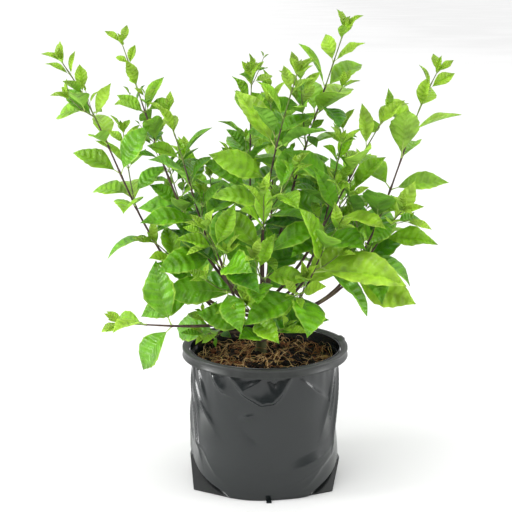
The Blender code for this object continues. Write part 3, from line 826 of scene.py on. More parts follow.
def leaf_pattern(lines, rows):
    """The leaf's grids: x runs from base to tip, y from margin to margin, and z is 1 above and
    -1 below. Both grids meet along the margin, at the base and at the tip."""
    bm = bmesh.new()
    for across, layer in ((lines, 1), (UNDER_LINES, -1)):
        columns = len(across) - 1
        made = bmesh.ops.create_grid(bm, x_segments=rows, y_segments=columns, size=1)["verts"]
        for vert in made:
            line = round((vert.co.y + 1) / 2 * columns)
            vert.co = ((vert.co.x + 1) / 2, across[line], layer)
        if layer == -1:
            lower = {face for vert in made for face in vert.link_faces}
            bmesh.ops.reverse_faces(bm, faces=list(lower))
    for vert in bm.verts:
        if vert.co.x < 1e-5 or vert.co.x > 1 - 1e-5:
            vert.co.y = vert.co.z = 0
        if abs(vert.co.y) > 1 - 1e-5:
            vert.co.z = 0
    bmesh.ops.remove_doubles(bm, verts=bm.verts, dist=1e-5)
    bmesh.ops.reverse_faces(bm, faces=bm.faces)
    return pattern_of(bm, finish_of_face)


def finish_of_face(face):
    """0 on the blade, 1 on the underside and 2 on the pale margin."""
    middle = face.calc_center_median()
    if middle.z < 0:
        return 1
    return 2 if max(abs(vert.co.y) for vert in face.verts) > 0.99 else 0


class Pattern(NamedTuple):
    """A shape to be repeated: its points, its faces, and the material that each face wears."""

    points: np.ndarray
    faces: list
    materials: list


def pattern_of(bm, material=lambda face: 0):
    """Reads a bmesh into a pattern and lets go of it."""
    bm.verts.index_update()
    points = np.array([vert.co[:] for vert in bm.verts])
    faces = [[vert.index for vert in face.verts] for face in bm.faces]
    materials = [material(face) for face in bm.faces]
    bm.free()
    return Pattern(points, faces, materials)


LEAF = leaf_pattern(LEAF_LINES, LEAF_ROWS)
YOUNG_LEAF = leaf_pattern(YOUNG_LINES, YOUNG_ROWS)
print("a leaf has", len(LEAF.faces), "faces and a young one", len(YOUNG_LEAF.faces))

# %% [markdown]
# ### One mesh from many copies
# The points of every copy go one after the other, and the faces of each copy count on from where
# the last one ended. That gives one mesh that is quick to draw and that the export keeps.

# %% Join the copies of a pattern
SHARP = math.radians(70)


def joined(name, groups, *materials):
    """One object from groups of shapes, each group a pattern and the copies bent from it."""
    faces, indices, rows, start = [], [], [], 0
    for pattern, shapes in groups:
        corners = np.array([corner for face in pattern.faces for corner in face])
        for _ in shapes:
            faces += [[corner + start for corner in face] for face in pattern.faces]
            start += len(pattern.points)
        indices += pattern.materials * len(shapes)
        rows.append(np.tile(pattern.points[corners][:, :2], (len(shapes), 1)))
    points = np.concatenate([shape for _, shapes in groups for shape in shapes])
    mesh = bpy.data.meshes.new(name)
    mesh.from_pydata(points.tolist(), [], faces)
    mesh.polygons.foreach_set("material_index", indices)
    mesh.uv_layers.new(name="rows").data.foreach_set("uv", np.concatenate(rows).ravel())
    piece = piece_of(name, mesh, *materials)
    mesh.set_sharp_from_angle(angle=SHARP)
    return piece


def volume_of(points, pattern):
    """The signed volume of one shape, which is positive when its faces point outwards."""
    total = 0.0
    for face in pattern.faces:
        for b, c in zip(face[1:], face[2:]):
            total += np.dot(points[face[0]], np.cross(points[b], points[c])) / 6
    return total


# %% Bend the pattern to a leaf
VEIN_SLANT = 0.11
VEIN_DEPTH = 0.0040
LEAF_THICK = 0.00022
LEAF_CUP = 0.12
# How far the tip curls down, as a share of the length, and where on the rib that begins
LEAF_CURL = (-0.10, 0.45)
CURL_FROM = 0.62
LEAF_TWIST = 0.22
# Side waves of the margin: their height as a share of the length, and how many there are
RIPPLE = (0.006, 0.028)
RIPPLES = (1.1, 2.2)
TOOTH = 0.040
# The teeth begin beyond this share of the blade and end before that one
TEETH = (0.42, 0.97)
BITE_CHANCE = 0.035
# What a bite leaves of the half width
BITE_LEFT = 0.62


def blade_shape(leaf, rng, pattern, rows):
    """The pattern's points bent to one leaf: slanted vein rows, puckers, waves and teeth."""
    u, v, layer = pattern.points.T
    side_share = np.abs(v)
    slanted = u + VEIN_SLANT * side_share * np.sin(math.pi * u)
    share = LEAF_PETIOLE + (1 - LEAF_PETIOLE) * slanted
    arch = max(leaf.arch, 1e-4)
    bend = arch * share
    ahead, face = np.array(leaf.ahead), np.array(leaf.face)
    side = np.array(leaf.ahead.cross(leaf.face))
    forward, drop = np.sin(bend) / arch, (1 - np.cos(bend)) / arch
    curl = rng.uniform(*LEAF_CURL) * np.maximum(slanted - CURL_FROM, 0) ** 2
    bent = np.outer(forward, ahead) - np.outer(drop + curl, face)
    rib = np.array(leaf.root) + leaf.length * bent
    normal = np.outer(np.cos(bend), face) + np.outer(np.sin(bend), ahead)
    twist = rng.gauss(0, LEAF_TWIST) * slanted
    across = side * np.cos(twist)[:, None] + normal * np.sin(twist)[:, None]
    lifted = normal * np.cos(twist)[:, None] - side * np.sin(twist)[:, None]
    row = np.round(u * rows).astype(int)
    odd = np.where(row % 2 == 1, 1.0, -1.0)
    half = 0.5 * leaf.width * np.sin(math.pi * np.clip(slanted, 0, 1) ** 0.94) ** 1.20
    toothed = (side_share > 0.8) * (slanted > TEETH[0]) * (slanted < TEETH[1])
    tooth = 1 + TOOTH * odd * toothed
    bitten, bite_side = rng.random() < BITE_CHANCE, rng.choice((-1, 1))
    bite_row = rng.randint(rows // 2, rows - 2)
    if bitten:
        tooth = np.where((v * bite_side > 0.8) & (row == bite_row), BITE_LEFT, tooth)
    pucker = VEIN_DEPTH * leaf.length * odd * (side_share > 0.1) * (side_share < 0.8)
    phase, waves = rng.uniform(0, 2 * math.pi), rng.uniform(*RIPPLES)
    ripple = rng.uniform(*RIPPLE) * leaf.length * side_share**2 * v
    ripple = ripple * np.sin(2 * math.pi * waves * slanted + phase)
    cup = LEAF_CUP * 4 * side_share * (1 - side_share) * half
    width_at = v * half * tooth * math.cos(leaf.fold)
    height_at = side_share * half * math.sin(leaf.fold) + cup
    height_at = height_at + (pucker + ripple) * np.sin(math.pi * u)
    height_at = height_at + layer * LEAF_THICK
    return rib + across * width_at[:, None] + lifted * height_at[:, None]


test_leaf = growths[BOUGHS[0].name].leaves[0]
test_shape = blade_shape(test_leaf, random.Random(1), LEAF, LEAF_ROWS)
print("a leaf", round(1000 * test_leaf.length), "mm long has",
      round(1e9 * volume_of(test_shape, LEAF), 1), "mm3")

# %% [markdown]
# ### Shades of green
# The leaves differ by age, lime on the growing tips, and their greens also carry painted light and
# shade: deep green low and inside is painted shade, fresh green high and outside is painted light.
# A pattern that changes over a joined mesh would be lost in the export, so the greens are dealt out
# leaf by leaf to five meshes, each with a plain colour. The paler underside is a second material on
# the same mesh. A share of Translucent lets light through the blade, which is what makes thin leaves
# glow.

# %% Leaf finishes
# Leaf greens from deep to lime, dealt out by age and by painted light and shade of each leaf's place
GREENS = {
    "deep": (0.043, 0.190, 0.005),
    "green": (0.092, 0.330, 0.006),
    "fresh": (0.165, 0.455, 0.009),
    "light": (0.280, 0.570, 0.018),
    "lime": (0.420, 0.690, 0.055),
}
# What the underside and the margin are mixed with
UNDER_GREEN = (0.28, 0.48, 0.13)
MARGIN_GREEN = (0.62, 0.80, 0.16)
# The share of the light that goes through a blade
GLOW = 0.26
VEIN_TINT = 0.20
BLOTCH_DIM, BLOTCH_LIT = 0.66, 1.24


def mixed(a, b, share):
    """A colour between two others."""
    return tuple(blend(x, y, share) for x, y in zip(a, b))


def leaf_finish(name, colour, roughness, specular):
    """A leaf's surface: a waxy shader over a share of light that comes through the blade."""
    material, tree, shader = shader_of(name, colour, roughness, specular)
    mottle = noise_in(tree, 70, 3)
    dim = tuple(BLOTCH_DIM * c for c in colour)
    lit = (*(min(1, BLOTCH_LIT * c) for c in colour[:2]), colour[2])
    blotches = ramp(tree, mottle, [(0.34, dim), (0.62, lit)])
    rows = tree.nodes.new("ShaderNodeUVMap")
    rows.uv_map = "rows"
    veins = tree.nodes.new("ShaderNodeTexWave")
    veins.bands_direction = "X"
    veins.inputs["Scale"].default_value = LEAF_ROWS * math.pi / 20
    veins.inputs["Distortion"].default_value = 1.2
    veins.inputs["Detail Scale"].default_value = 4
    tree.links.new(rows.outputs["UV"], veins.inputs["Vector"])
    # Socket 0 of a Mix node is the share, 6 and 7 are its two colours, and output 2 is the mix
    tinted = tree.nodes.new("ShaderNodeMix")
    tinted.data_type = "RGBA"
    share = ramp(tree, veins.outputs["Fac"], [(0.72, grey(0)), (1.0, grey(VEIN_TINT))])
    tree.links.new(share, tinted.inputs[0])
    tree.links.new(blotches, tinted.inputs[6])
    tinted.inputs[7].default_value = (*mixed(colour, MARGIN_GREEN, 0.45), 1)
    tree.links.new(tinted.outputs[2], shader.inputs["Base Color"])
    veined = bump(tree, shader, veins.outputs["Fac"], 0.0013, 0.8)
    bump(tree, shader, noise_in(tree, 190, 3), 0.0011, 0.8, veined)
    through = tree.nodes.new("ShaderNodeBsdfTranslucent")
    seen = (min(1, 1.5 * colour[0] + 0.06), min(1, 1.35 * colour[1] + 0.06), 0.9 * colour[2])
    through.inputs["Color"].default_value = (*seen, 1)
    mix = tree.nodes.new("ShaderNodeMixShader")
    mix.inputs["Fac"].default_value = GLOW
    tree.links.new(shader.outputs["BSDF"], mix.inputs[1])
    tree.links.new(through.outputs["BSDF"], mix.inputs[2])
    tree.links.new(mix.outputs["Shader"], tree.nodes["Material Output"].inputs["Surface"])
    return material


# %% Deal the leaves out
TONE_CHANCE = 0.14


def green_by_age_and_painted_light(leaf, mass_tone, rng):
    """Which green a leaf wears: by its age and its mass with a little chance, paler high up and
    outside as painted light, deeper low and inside as painted shade.
    """
    tip = leaf.root + leaf.ahead * leaf.length
    outside = min(1.0, tip.xy.length / 0.20)
    height = (tip.z - 0.15) / 0.36
    # The height and outside terms are painted light and shade: paler high and outside, deeper low and
    # inside
    score = 0.30 + 0.16 * height + 0.16 * outside + 0.50 * leaf.age**2 + mass_tone
    score += rng.gauss(0, TONE_CHANCE)
    step = min(max(int(score * len(GREENS)), 0), len(GREENS) - 1)
    return list(GREENS)[step]


TONE_SEED, SHAPE_SEED = 77, 78
tone_rng, shape_rng = random.Random(TONE_SEED), random.Random(SHAPE_SEED)
blades = {tone: ([], []) for tone in GREENS}
all_leaves = []
for bough in BOUGHS:
    mass_tone = tone_rng.gauss(0, 0.07)
    for leaf in growths[bough.name].leaves:
        shape = blade_shape(leaf, shape_rng, LEAF, LEAF_ROWS)
        blades[green_by_age_and_painted_light(leaf, mass_tone, tone_rng)][0].append(shape)
    for leaf in fine[bough.name].leaves:
        shape = blade_shape(leaf, shape_rng, YOUNG_LEAF, YOUNG_ROWS)
        blades[green_by_age_and_painted_light(leaf, mass_tone, tone_rng)][1].append(shape)
    all_leaves += growths[bough.name].leaves + fine[bough.name].leaves
for tone, colour in GREENS.items():
    upper = leaf_finish(f"{tone} leaf", colour, 0.28, 0.50)
    under = leaf_finish(f"{tone} leaf underside", mixed(colour, UNDER_GREEN, 0.5), 0.55, 0.3)
    margin = leaf_finish(f"{tone} leaf margin", mixed(colour, MARGIN_GREEN, 0.38), 0.45, 0.3)
    groups = [(LEAF, blades[tone][0]), (YOUNG_LEAF, blades[tone][1])]
    hang(joined(f"leaves_{tone}", groups, upper, under, margin), "foliage", *MASSES)

# %% [markdown]
# ### Ribs and leaf stalks
# The rib is the pale line along the middle of each leaf, and it goes on as the stalk that joins
# the leaf to its stem. It is a slender tapered rod laid into the blade, with its own colour.

# %% Ribs
RIB_CUTS = (0.07, 0.13, 0.24, 0.38, 0.54, 0.72)
RIB_END = 0.96
RIB_WIDE = 0.0130


def tube(sides, cuts, tip=False):
    """A round bar or spike of unit length along +Z, cut across at each of the given shares."""
    bm = bmesh.new()
    bmesh.ops.create_cone(
        bm, cap_ends=True, cap_tris=False, segments=sides, radius1=1, radius2=0 if tip else 1,
        depth=1, matrix=Matrix.Translation((0, 0, 0.5)),
    )
    if tip:
        bmesh.ops.remove_doubles(bm, verts=bm.verts, dist=1e-5)
    for share in cuts:
        everything = bm.verts[:] + bm.edges[:] + bm.faces[:]
        bmesh.ops.bisect_plane(bm, geom=everything, dist=1e-6, plane_co=(0, 0, share), plane_no=UP)
    return bm


RIB_ROD = pattern_of(tube(4, RIB_CUTS, tip=True))


def rib_shape(leaf):
    """The rod's points laid along a leaf's rib, thick at the stalk and fine at the tip."""
    points = []
    for x, y, z in RIB_ROD.points:
        share = z * RIB_END
        radius = leaf.length * RIB_WIDE * (1 - 0.80 * z) * (1.25 if z < 0.01 else 1)
        here = leaf_point(leaf, share, 0)
        up = (leaf_point(leaf, share, 0, 1) - here).normalized()
        side = leaf.ahead.cross(leaf.face)
        points.append(here - side * x * radius + up * (y * radius * 0.8 + 0.00010))
    return np.array(points)


rib_finish = finish_of("pale rib", (0.44, 0.60, 0.14), 0.5, 0.3, relief=((1200, 2), 0.0001, 0.5))
ribs = [rib_shape(leaf) for leaf in all_leaves]
print("a rib has", round(1e9 * volume_of(ribs[0], RIB_ROD), 2), "mm3")
hang(joined("leaf_ribs", [(RIB_ROD, ribs)], rib_finish), "foliage", *MASSES)

# %% [markdown]
# ## Stems and twigs
# The stems are thin and round, purplish brown where they have turned woody and green towards the
# tips, with a slight knuckle at every pair of leaves. A cone made by bmesh is cut across into
# rings, and each ring is then moved to its place on the stem's line.

# %% Tubes along lines
def smooth_point(line, share):
    """A point on the smooth curve through a line's points."""
    at = min(max(share, 0.0), 1.0) * (len(line) - 1)
    step = min(int(at), len(line) - 2)
    t = at - step
    a, b = line[max(step - 1, 0)], line[step]
    c, d = line[step + 1], line[min(step + 2, len(line) - 1)]
    return 0.5 * (
        2 * b + (c - a) * t + (2 * a - 5 * b + 4 * c - d) * t * t + (3 * b - a - 3 * c + d) * t**3
    )


def wrap(bm, line, sides, rings, radius_at, first=0.0, last=1.0):
    """Adds a tube round part of a line. radius_at gives its radius at a share and a bearing."""
    tubes = tube(sides, [i / rings for i in range(1, rings)])
    for vert in tubes.verts:
        share = blend(first, last, vert.co.z)
        here = smooth_point(line, share)
        ahead = smooth_point(line, share + 0.01) - smooth_point(line, share - 0.01)
        bearing = math.atan2(vert.co.y, vert.co.x)
        ring = ring_matrix(here, ahead, radius_at(share, bearing))
        vert.co = ring @ Vector((vert.co.x, vert.co.y, 0))
    part = bpy.data.meshes.new("part")
    tubes.to_mesh(part)
    tubes.free()
    bm.from_mesh(part)
    bpy.data.meshes.remove(part)


# %% Stems
# The share of a stem that has turned woody
WOODY_SHARE = 0.66
# A limb's radius as a share of its solid's, what a knuckle adds to that, and how far it reaches
SLIM = 0.80
KNUCKLE = 0.40
KNUCKLE_SPAN = 0.018


def stem_radius(shoot, joints):
    """A stem's radius: an even taper with a knuckle at each joint."""

    def radius_at(share, bearing):
        radius = blend(shoot.foot_radius, shoot.tip_radius, share)
        near = min((abs(share - joint) for joint in joints), default=1)
        return radius * (SLIM + KNUCKLE * math.exp(-((near / KNUCKLE_SPAN) ** 2)))

    return radius_at


woody, green = bmesh.new(), bmesh.new()
for bough in BOUGHS:
    growth = growths[bough.name]
    joints = pair_shares(growth.stem.line, bough.joint)[:-1]
    radius_at = stem_radius(growth.stem, joints)
    wrap(woody, growth.stem.line, 8, 30, radius_at, last=WOODY_SHARE)
    wrap(green, growth.stem.line, 8, 16, radius_at, first=WOODY_SHARE)
    for twig in growth.twigs:
        twig_joints = pair_shares(twig.line, TWIG_JOINT * bough.joint)[:-1]
        wrap(green, twig.line, 7, 16, stem_radius(twig, twig_joints))
    for sprig in fine[bough.name].sprigs:
        wrap(green, sprig.line, 5, 5, stem_radius(sprig, []))


def stem_finish(name, dark, light, roughness):
    """Fine upright streaks over two mixed shades."""
    shades = ((160, 4), [(0.35, dark), (0.65, light)])
    streaks = ((1500, 3, (1, 1, 0.3)), 0.0002, 0.7)
    return finish_of(name, light, roughness, 0.35, shades, streaks)


woody_finish = stem_finish("woody stem", (0.055, 0.028, 0.030), (0.120, 0.070, 0.055), 0.55)
green_finish = stem_finish("green stem", (0.110, 0.120, 0.035), (0.200, 0.270, 0.070), 0.50)
hang(piece_from("stems_woody", woody, woody_finish), "foliage", *MASSES)
hang(piece_from("stems_green", green, green_finish), "foliage", *MASSES)

# %% [markdown]
# ## Trunk and boughs
# Old duranta wood is grey brown with shallow upright ridges. The relief is real: a ridged noise
# moves the rings of the tube in and out, so it also shows in the outline. Limbs and stems lie a
# little inside the solids that they stand for, because a knuckled stem is thin between its joints.

# %% Bark
BARK_DEPTH = 0.0007
# The foot of the trunk is fluted between its roots: the depth, the height and the number of flutes
FLUTE_DEPTH, FLUTE_HEIGHT, FLUTES = 0.0006, 0.012, 5


def ridges(point, bearing, seed):
    """Upright ridges of bark, from 0 in a crack to 1 on a ridge."""
    place = Vector((4.2 * math.cos(bearing), 4.2 * math.sin(bearing), point.z * 70 + seed))
    return 1 - abs(noise.noise(place)) * 2


def trunk_bark_radius(share, bearing):
    height = share * TRUNK_HEIGHT
    relief = BARK_DEPTH * (ridges(trunk_point(height), bearing, 0) - 0.6)
    flutes = FLUTE_DEPTH * math.exp(-height / FLUTE_HEIGHT) * math.cos(FLUTES * bearing)
    return trunk_radius(height) + relief + flutes


bark = bmesh.new()
trunk_line = [trunk_point(TRUNK_HEIGHT * i / 12) for i in range(13)]
wrap(bark, trunk_line, 28, 48, trunk_bark_radius)
TRUNK_SHADES = [
    (0.32, (0.035, 0.036, 0.014)),
    (0.52, (0.095, 0.100, 0.038)),
    (0.72, (0.190, 0.185, 0.085)),
]
cracks = ((420, 6, (1, 1, 0.25)), 0.0008, 0.8)
grain = ((130, 6, (1, 1, 0.22)), TRUNK_SHADES)
trunk_finish = finish_of("trunk bark", (0.15, 0.12, 0.06), 0.8, 0.3, grain, cracks)
hang(piece_from("trunk_bark", bark, trunk_finish), "trunk_bark", "trunk")

# %% Boughs
BOUGH_BARK_DEPTH = 0.00022
# A bough is thicker where it leaves the trunk: by how much, and over what share of its length
BOUGH_FLARE, BOUGH_FLARE_SPAN = 0.16, 0.05
BOUGH_SHADES = [
    (0.34, (0.050, 0.028, 0.026)),
    (0.55, (0.105, 0.066, 0.048)),
    (0.74, (0.170, 0.140, 0.085)),
]


def bough_radius(limb, seed):
    """A bough's radius: an even taper, a flare at the trunk and shallow bark."""

    def radius_at(share, bearing):
        radius = blend(limb.foot_radius, limb.tip_radius, share)
        relief = BOUGH_BARK_DEPTH * (ridges(smooth_point(limb.line, share), bearing, seed) - 0.6)
        flare = BOUGH_FLARE * math.exp(-((share / BOUGH_FLARE_SPAN) ** 2))
        return radius * (SLIM + flare) + relief

    return radius_at


boughs = bmesh.new()
for number, bough in enumerate(BOUGHS):
    limb = limbs[bough.name]
    wrap(boughs, limb.line, 12, 40, bough_radius(limb, number))
cracks = ((700, 5, (1, 1, 0.35)), 0.0004, 0.8)
grain = ((120, 5, (1, 1, 0.4)), BOUGH_SHADES)
bough_finish = finish_of("bough bark", (0.11, 0.075, 0.055), 0.7, 0.3, grain, cracks)
hang(piece_from("bough_bark", boughs, bough_finish), "bough_bark", *LIMBS)

# %% [markdown]
# ## The film bag
# The bag is a tube of black polythene, welded flat at the foot, so its four lower corners are
# folded over and stand out as ears. The film hangs from the collar and is pushed out by the coir,
# which leaves long soft creases. It is turned from a profile like a pot, and then every point of
# the wall is moved in or out by a rule: the ears, creases that run along lines with a place on
# the wall, and a slow unevenness. A cloth simulation would also do, but film that is filled to the
# wall barely hangs, and creases with a place can be set against the picture.

# %% The bag's outline
# The bag's height and outer radius, from the floor up
BAG_SHAPE = (
    (0.0, 0.0815),
    (0.010, 0.0838),
    (0.030, 0.0836),
    (0.055, 0.0822),
    (0.085, 0.0812),
    (0.115, 0.0818),
    (BAG_TOP, COLLAR_INNER_RADIUS - GAP),
)
# The four corners: bearing and reach of the point on the floor, bearing of the near foot, bearing
# and height of the fold's top, bearing of the far foot
BAG_EARS = (
    (-147, 0.0925, -117, -174, 0.026, -184),
    (-37, 0.0914, -55, -6, 0.021, 5),
    (38, 0.0880, 60, 9, 0.020, -2),
    (143, 0.0885, 118, 170, 0.021, 182),
)


def bag_radius(height):
    """The bag's outer radius before its corners are folded in."""
    for (low, r_low), (high, r_high) in zip(BAG_SHAPE, BAG_SHAPE[1:]):
        if height <= high:
            return blend(r_low, r_high, max(height - low, 0) / (high - low))
    return BAG_SHAPE[-1][1]


def wall_point(bearing, radius, height):
    turn = math.radians(bearing)
    return Vector((radius * math.cos(turn), radius * math.sin(turn), height))


def reach_of(face, outward, height):
    """How far out a plane through three points lies at a height, seen from the axis."""
    a, b, c = face
    normal = (b - a).cross(c - a)
    slant = normal.dot(outward)
    return (normal.dot(a) - normal.z * height) / slant if abs(slant) > 1e-9 else 0


FILM = 0.0005
BAG_STEPS = 360
BAG_RINGS = 110
# Each crease is a line of (bearing, height) points on the wall, in degrees and millimetres, then
# its depth, negative for a valley, and how far it spreads to the left and to the right of its
# line, all in millimetres. An uneven spread makes a fold with one steep and one gentle side.
CREASES = (
    (((-117, 138), (-105, 119), (-93, 109), (-84, 111), (-77, 122), (-71, 137)), 5.4, 12.0, 2.4),
    (((-105, 125), (-97, 132), (-90, 139)), 3.0, 3.0, 7.0),
    (((-89, 140), (-83, 130), (-78, 140)), -3.2, 3.0, 3.0),
    (((-134, 139), (-126, 124), (-119, 117)), 4.4, 8.0, 2.2),
    (((-151, 139), (-143, 118), (-137, 100)), 4.0, 3.0, 6.0),
    (((-160, 136), (-147, 108), (-131, 76)), 5.0, 3.6, 9.0),
    (((-171, 124), (-161, 92), (-148, 44)), 4.4, 2.4, 8.0),
    (((-109, 91), (-98, 95)), 2.0, 4.0, 4.0),
    (((-124, 108), (-108, 84), (-96, 64)), -1.8, 14.0, 10.0),
    (((-62, 132), (-50, 117), (-38, 106)), 2.6, 3.0, 9.0),
    (((-27, 136), (-34, 104), (-42, 74)), 4.0, 8.0, 3.2),
    (((-12, 128), (-19, 92), (-28, 52)), 4.6, 8.0, 2.6),
    (((-22, 52), (-50, 40), (-78, 30)), 1.5, 3.4, 10.0),
    (((-31, 42), (-52, 29), (-71, 16)), 1.5, 3.0, 9.0),
    (((-66, 46), (-44, 55), (-28, 64)), -0.7, 7.0, 7.0),
    (((-128, 24), (-141, 46), (-160, 58)), 2.4, 3.4, 9.0),
    (((-58, 14), (-44, 32), (-24, 42)), 2.0, 9.0, 3.4),
)
BACK_CREASES = 22


def back_creases():
    """More creases of the same kinds for the sides and the back, from a seed."""
    rng = random.Random(31)
    found = []
    for number in range(BACK_CREASES):
        turn, high = rng.uniform(2, 178), rng.uniform(70, 135)
        low = high - rng.uniform(20, 75)
        swing = rng.uniform(-26, 26)
        middle = (turn + 0.5 * swing + rng.uniform(-5, 5), (high + low) / 2)
        spread = rng.uniform(2.2, 9), rng.uniform(2.2, 9)
        depth = rng.choice((-1, 1, 1)) * rng.uniform(2.0, 4.2)
        found.append((((turn, high), middle, (turn + swing, low)), depth, *spread))
    return found


ALL_CREASES = CREASES + tuple(back_creases())
print(len(ALL_CREASES), "creases")

# %% Where the film lies
MM = 0.001
# The film rounds off into an ear over this height above its fold line
FOLD_SOFT = 0.005
EARS = []
for turn, reach, near, top, top_height, far in BAG_EARS:
    corner = wall_point(turn, reach, 0)
    fold_top = wall_point(top, bag_radius(top_height), top_height)
    flats = [(wall_point(foot, bag_radius(0), 0), corner, fold_top) for foot in (near, far)]
    EARS.append((turn, near, top, top_height, far, flats))


def fold_at(bearing, height):
    """How far a point is above an ear's fold line, and how far out the ear's flat faces lie."""
    for turn, near, top, top_height, far, flats in EARS:
        there = turn + (bearing - turn + 180) % 360 - 180
        if min(near, far) < there < max(near, far):
            line = top_height * min((there - near) / (top - near), (there - far) / (top - far))
            outward = wall_point(bearing, 1, 0)
            out = min(reach_of(flat, outward, min(height, line)) for flat in flats)
            return height - line, out
    return 1, 0


# The film lies this much further in than the plain wall, so that creases stand out to the wall
CREASE_SINK = 0.0012
# No crease pulls the film in further than this, because the coir fills the bag
FILM_MOST_IN = 0.0038
# The filled bag is a little square: its sides are flatter than a round bag's
SQUARE = 0.0014
# Slow waves of the wall, and the fine gathers under the collar with their number
SLOW_WAVE = 0.0012
GATHER, GATHERS, GATHER_FADE = 0.00035, 46, 0.020
# The film is held still this far below the bag's top, and hangs freely this much lower
HELD, HANG_OVER = 0.0085, 0.005
# The soft lip that runs along a fold line: how far it stands out, how high above the line it is
# and how wide
EAR_LIP, LIP_HEIGHT, LIP_WIDE = 0.0009, 0.003, 0.0016
# The wall's radius is a mean over these steps of height, so its profile has no corners
SMOOTH_STEPS = (-0.006, -0.003, 0, 0.003, 0.006)


def crease_push(bearing, height, line, depth, left, right):
    """How far one crease pushes a point of the wall out, in millimetres."""
    arc = math.radians(bag_radius(height) / MM)
    best = None
    for step, ((turn_a, high_a), (turn_b, high_b)) in enumerate(zip(line, line[1:])):
        away = (bearing - turn_a + 180) % 360 - 180
        x, y = away * arc, height / MM - high_a
        dx, dy = (turn_b - turn_a) * arc, high_b - high_a
        share = min(max((x * dx + y * dy) / (dx * dx + dy * dy), 0), 1)
        off = math.hypot(x - share * dx, y - share * dy)
        if best is None or off < best[0]:
            best = (off, dx * y - dy * x, (step + share) / (len(line) - 1))
    off, side, share = best
    spread = left if side > 0 else right
    fade = math.sin(math.pi * (0.08 + 0.84 * share)) ** 0.6
    return depth * fade * math.exp(-((off / spread) ** 1.2)) if off < 4 * spread else 0


def crease_depth(bearing, height):
    """How far the creases push a point of the wall out, in metres."""
    return MM * sum(crease_push(bearing, height, *crease) for crease in ALL_CREASES)


def film_radius(bearing, height):
    """The film's outer radius at a bearing in degrees and a height."""
    turn = math.radians(bearing)
    near = [bag_radius(min(max(height + step, 0), BAG_TOP)) for step in SMOOTH_STEPS]
    hung = min(max((BAG_TOP - HELD - height) / HANG_OVER, 0), 1)
    radius = sum(near) / len(near) if height > 0.008 else bag_radius(height)
    radius -= hung * SQUARE * math.cos(4 * (turn + 0.5 * math.pi))
    slow = noise.noise(Vector((2.1 * math.cos(turn), 2.1 * math.sin(turn), height * 22)))
    radius += hung * (crease_depth(bearing, height) - CREASE_SINK + SLOW_WAVE * slow)
    gather = math.sin(GATHERS * turn + 3 * math.sin(3 * turn))
    gather *= math.exp(-(BAG_TOP - height) / GATHER_FADE)
    radius += hung * GATHER * gather
    radius = max(radius, bag_radius(height) - FILM_MOST_IN)
    above, flat = fold_at(bearing, height)
    soft = min(max(above / FOLD_SOFT, 0), 1)
    lip = EAR_LIP * math.exp(-(((above - LIP_HEIGHT) / LIP_WIDE) ** 2))
    return blend(flat, radius + lip, soft * soft * (3 - 2 * soft))


# %% Turn the bag
FLOOR_RINGS = [(0.010 * i, 0.0) for i in range(8)]
# The height of the wall's lowest ring
FOOT = 0.0004
# Inside, the film is only made down to this height, because the coir hides the rest
INSIDE_FROM = 0.02
# Points nearer the middle than this belong to the floor
WALL_FROM = 0.076


def turned(outline, steps, ring=False):
    """Spins an outline of (radius, height) points round the Z axis. A ring's outline is closed."""
    bm = bmesh.new()
    points = [bm.verts.new((radius, 0, height)) for radius, height in outline]
    ends = points[1:] + points[:1] if ring else points[1:]
    line = [bm.edges.new(pair) for pair in zip(points, ends)]
    bmesh.ops.spin(
        bm, geom=points + line, cent=(0, 0, 0), axis=UP, angle=2 * math.pi, steps=steps,
        use_merge=True,
    )
    bmesh.ops.remove_doubles(bm, verts=bm.verts, dist=1e-6)
    return bm


def film_profile():
    """The film from the middle of its floor up the outside and down the inside."""
    steps = [(i / BAG_RINGS) ** 1.15 for i in range(BAG_RINGS + 1)]
    heights = [FOOT + (BAG_TOP - FOOT) * step for step in steps]
    outside = [(bag_radius(height), height) for height in heights]
    inside = [(bag_radius(height) - FILM, height) for height in heights[::-1] if height > INSIDE_FROM]
    return FLOOR_RINGS + outside + inside


bm = turned(film_profile(), BAG_STEPS)
hole = [edge for edge in bm.edges if edge.is_boundary]
bmesh.ops.contextual_create(bm, geom=hole)
bmesh.ops.recalc_face_normals(bm, faces=bm.faces)
for vert in bm.verts:
    if vert.co.xy.length < WALL_FROM:
        continue
    bearing = math.degrees(math.atan2(vert.co.y, vert.co.x))
    skin = bag_radius(vert.co.z) - vert.co.xy.length
    radius = film_radius(bearing, vert.co.z) - skin
    vert.co = wall_point(bearing, radius, vert.co.z)
print("the film is", round(max(vert.co.xy.length for vert in bm.verts), 4), "m out at most")

# %% The weld tab
TAB = (0.0055, 0.009, 0.0009)
TAB_BEVEL = 0.0002


def add_tab(bm):
    """The short end of the weld that sticks out under the front of the bag."""
    made = bmesh.ops.create_cube(bm, size=1)["verts"]
    bmesh.ops.scale(bm, vec=TAB, verts=made)
    edges = {edge for vert in made for edge in vert.link_edges}
    cut = bmesh.ops.bevel(
        bm, geom=list(edges), offset=TAB_BEVEL, segments=2, affect="EDGES", profile=0.5, material=-1,
    )["verts"]
    tab = {vert for vert in made if vert.is_valid} | set(cut)
    forward = film_radius(-87, 0.002) + 0.0020
    bmesh.ops.translate(bm, verts=list(tab), vec=(0.004, -forward, 0.0007))


add_tab(bm)
print("the film and its tab have", len(bm.faces), "faces")

# %% [markdown]
# ### Two finishes of film
# The folded corners lie double and shine less than the wall, so the faces below the fold lines
# wear a finish of their own.

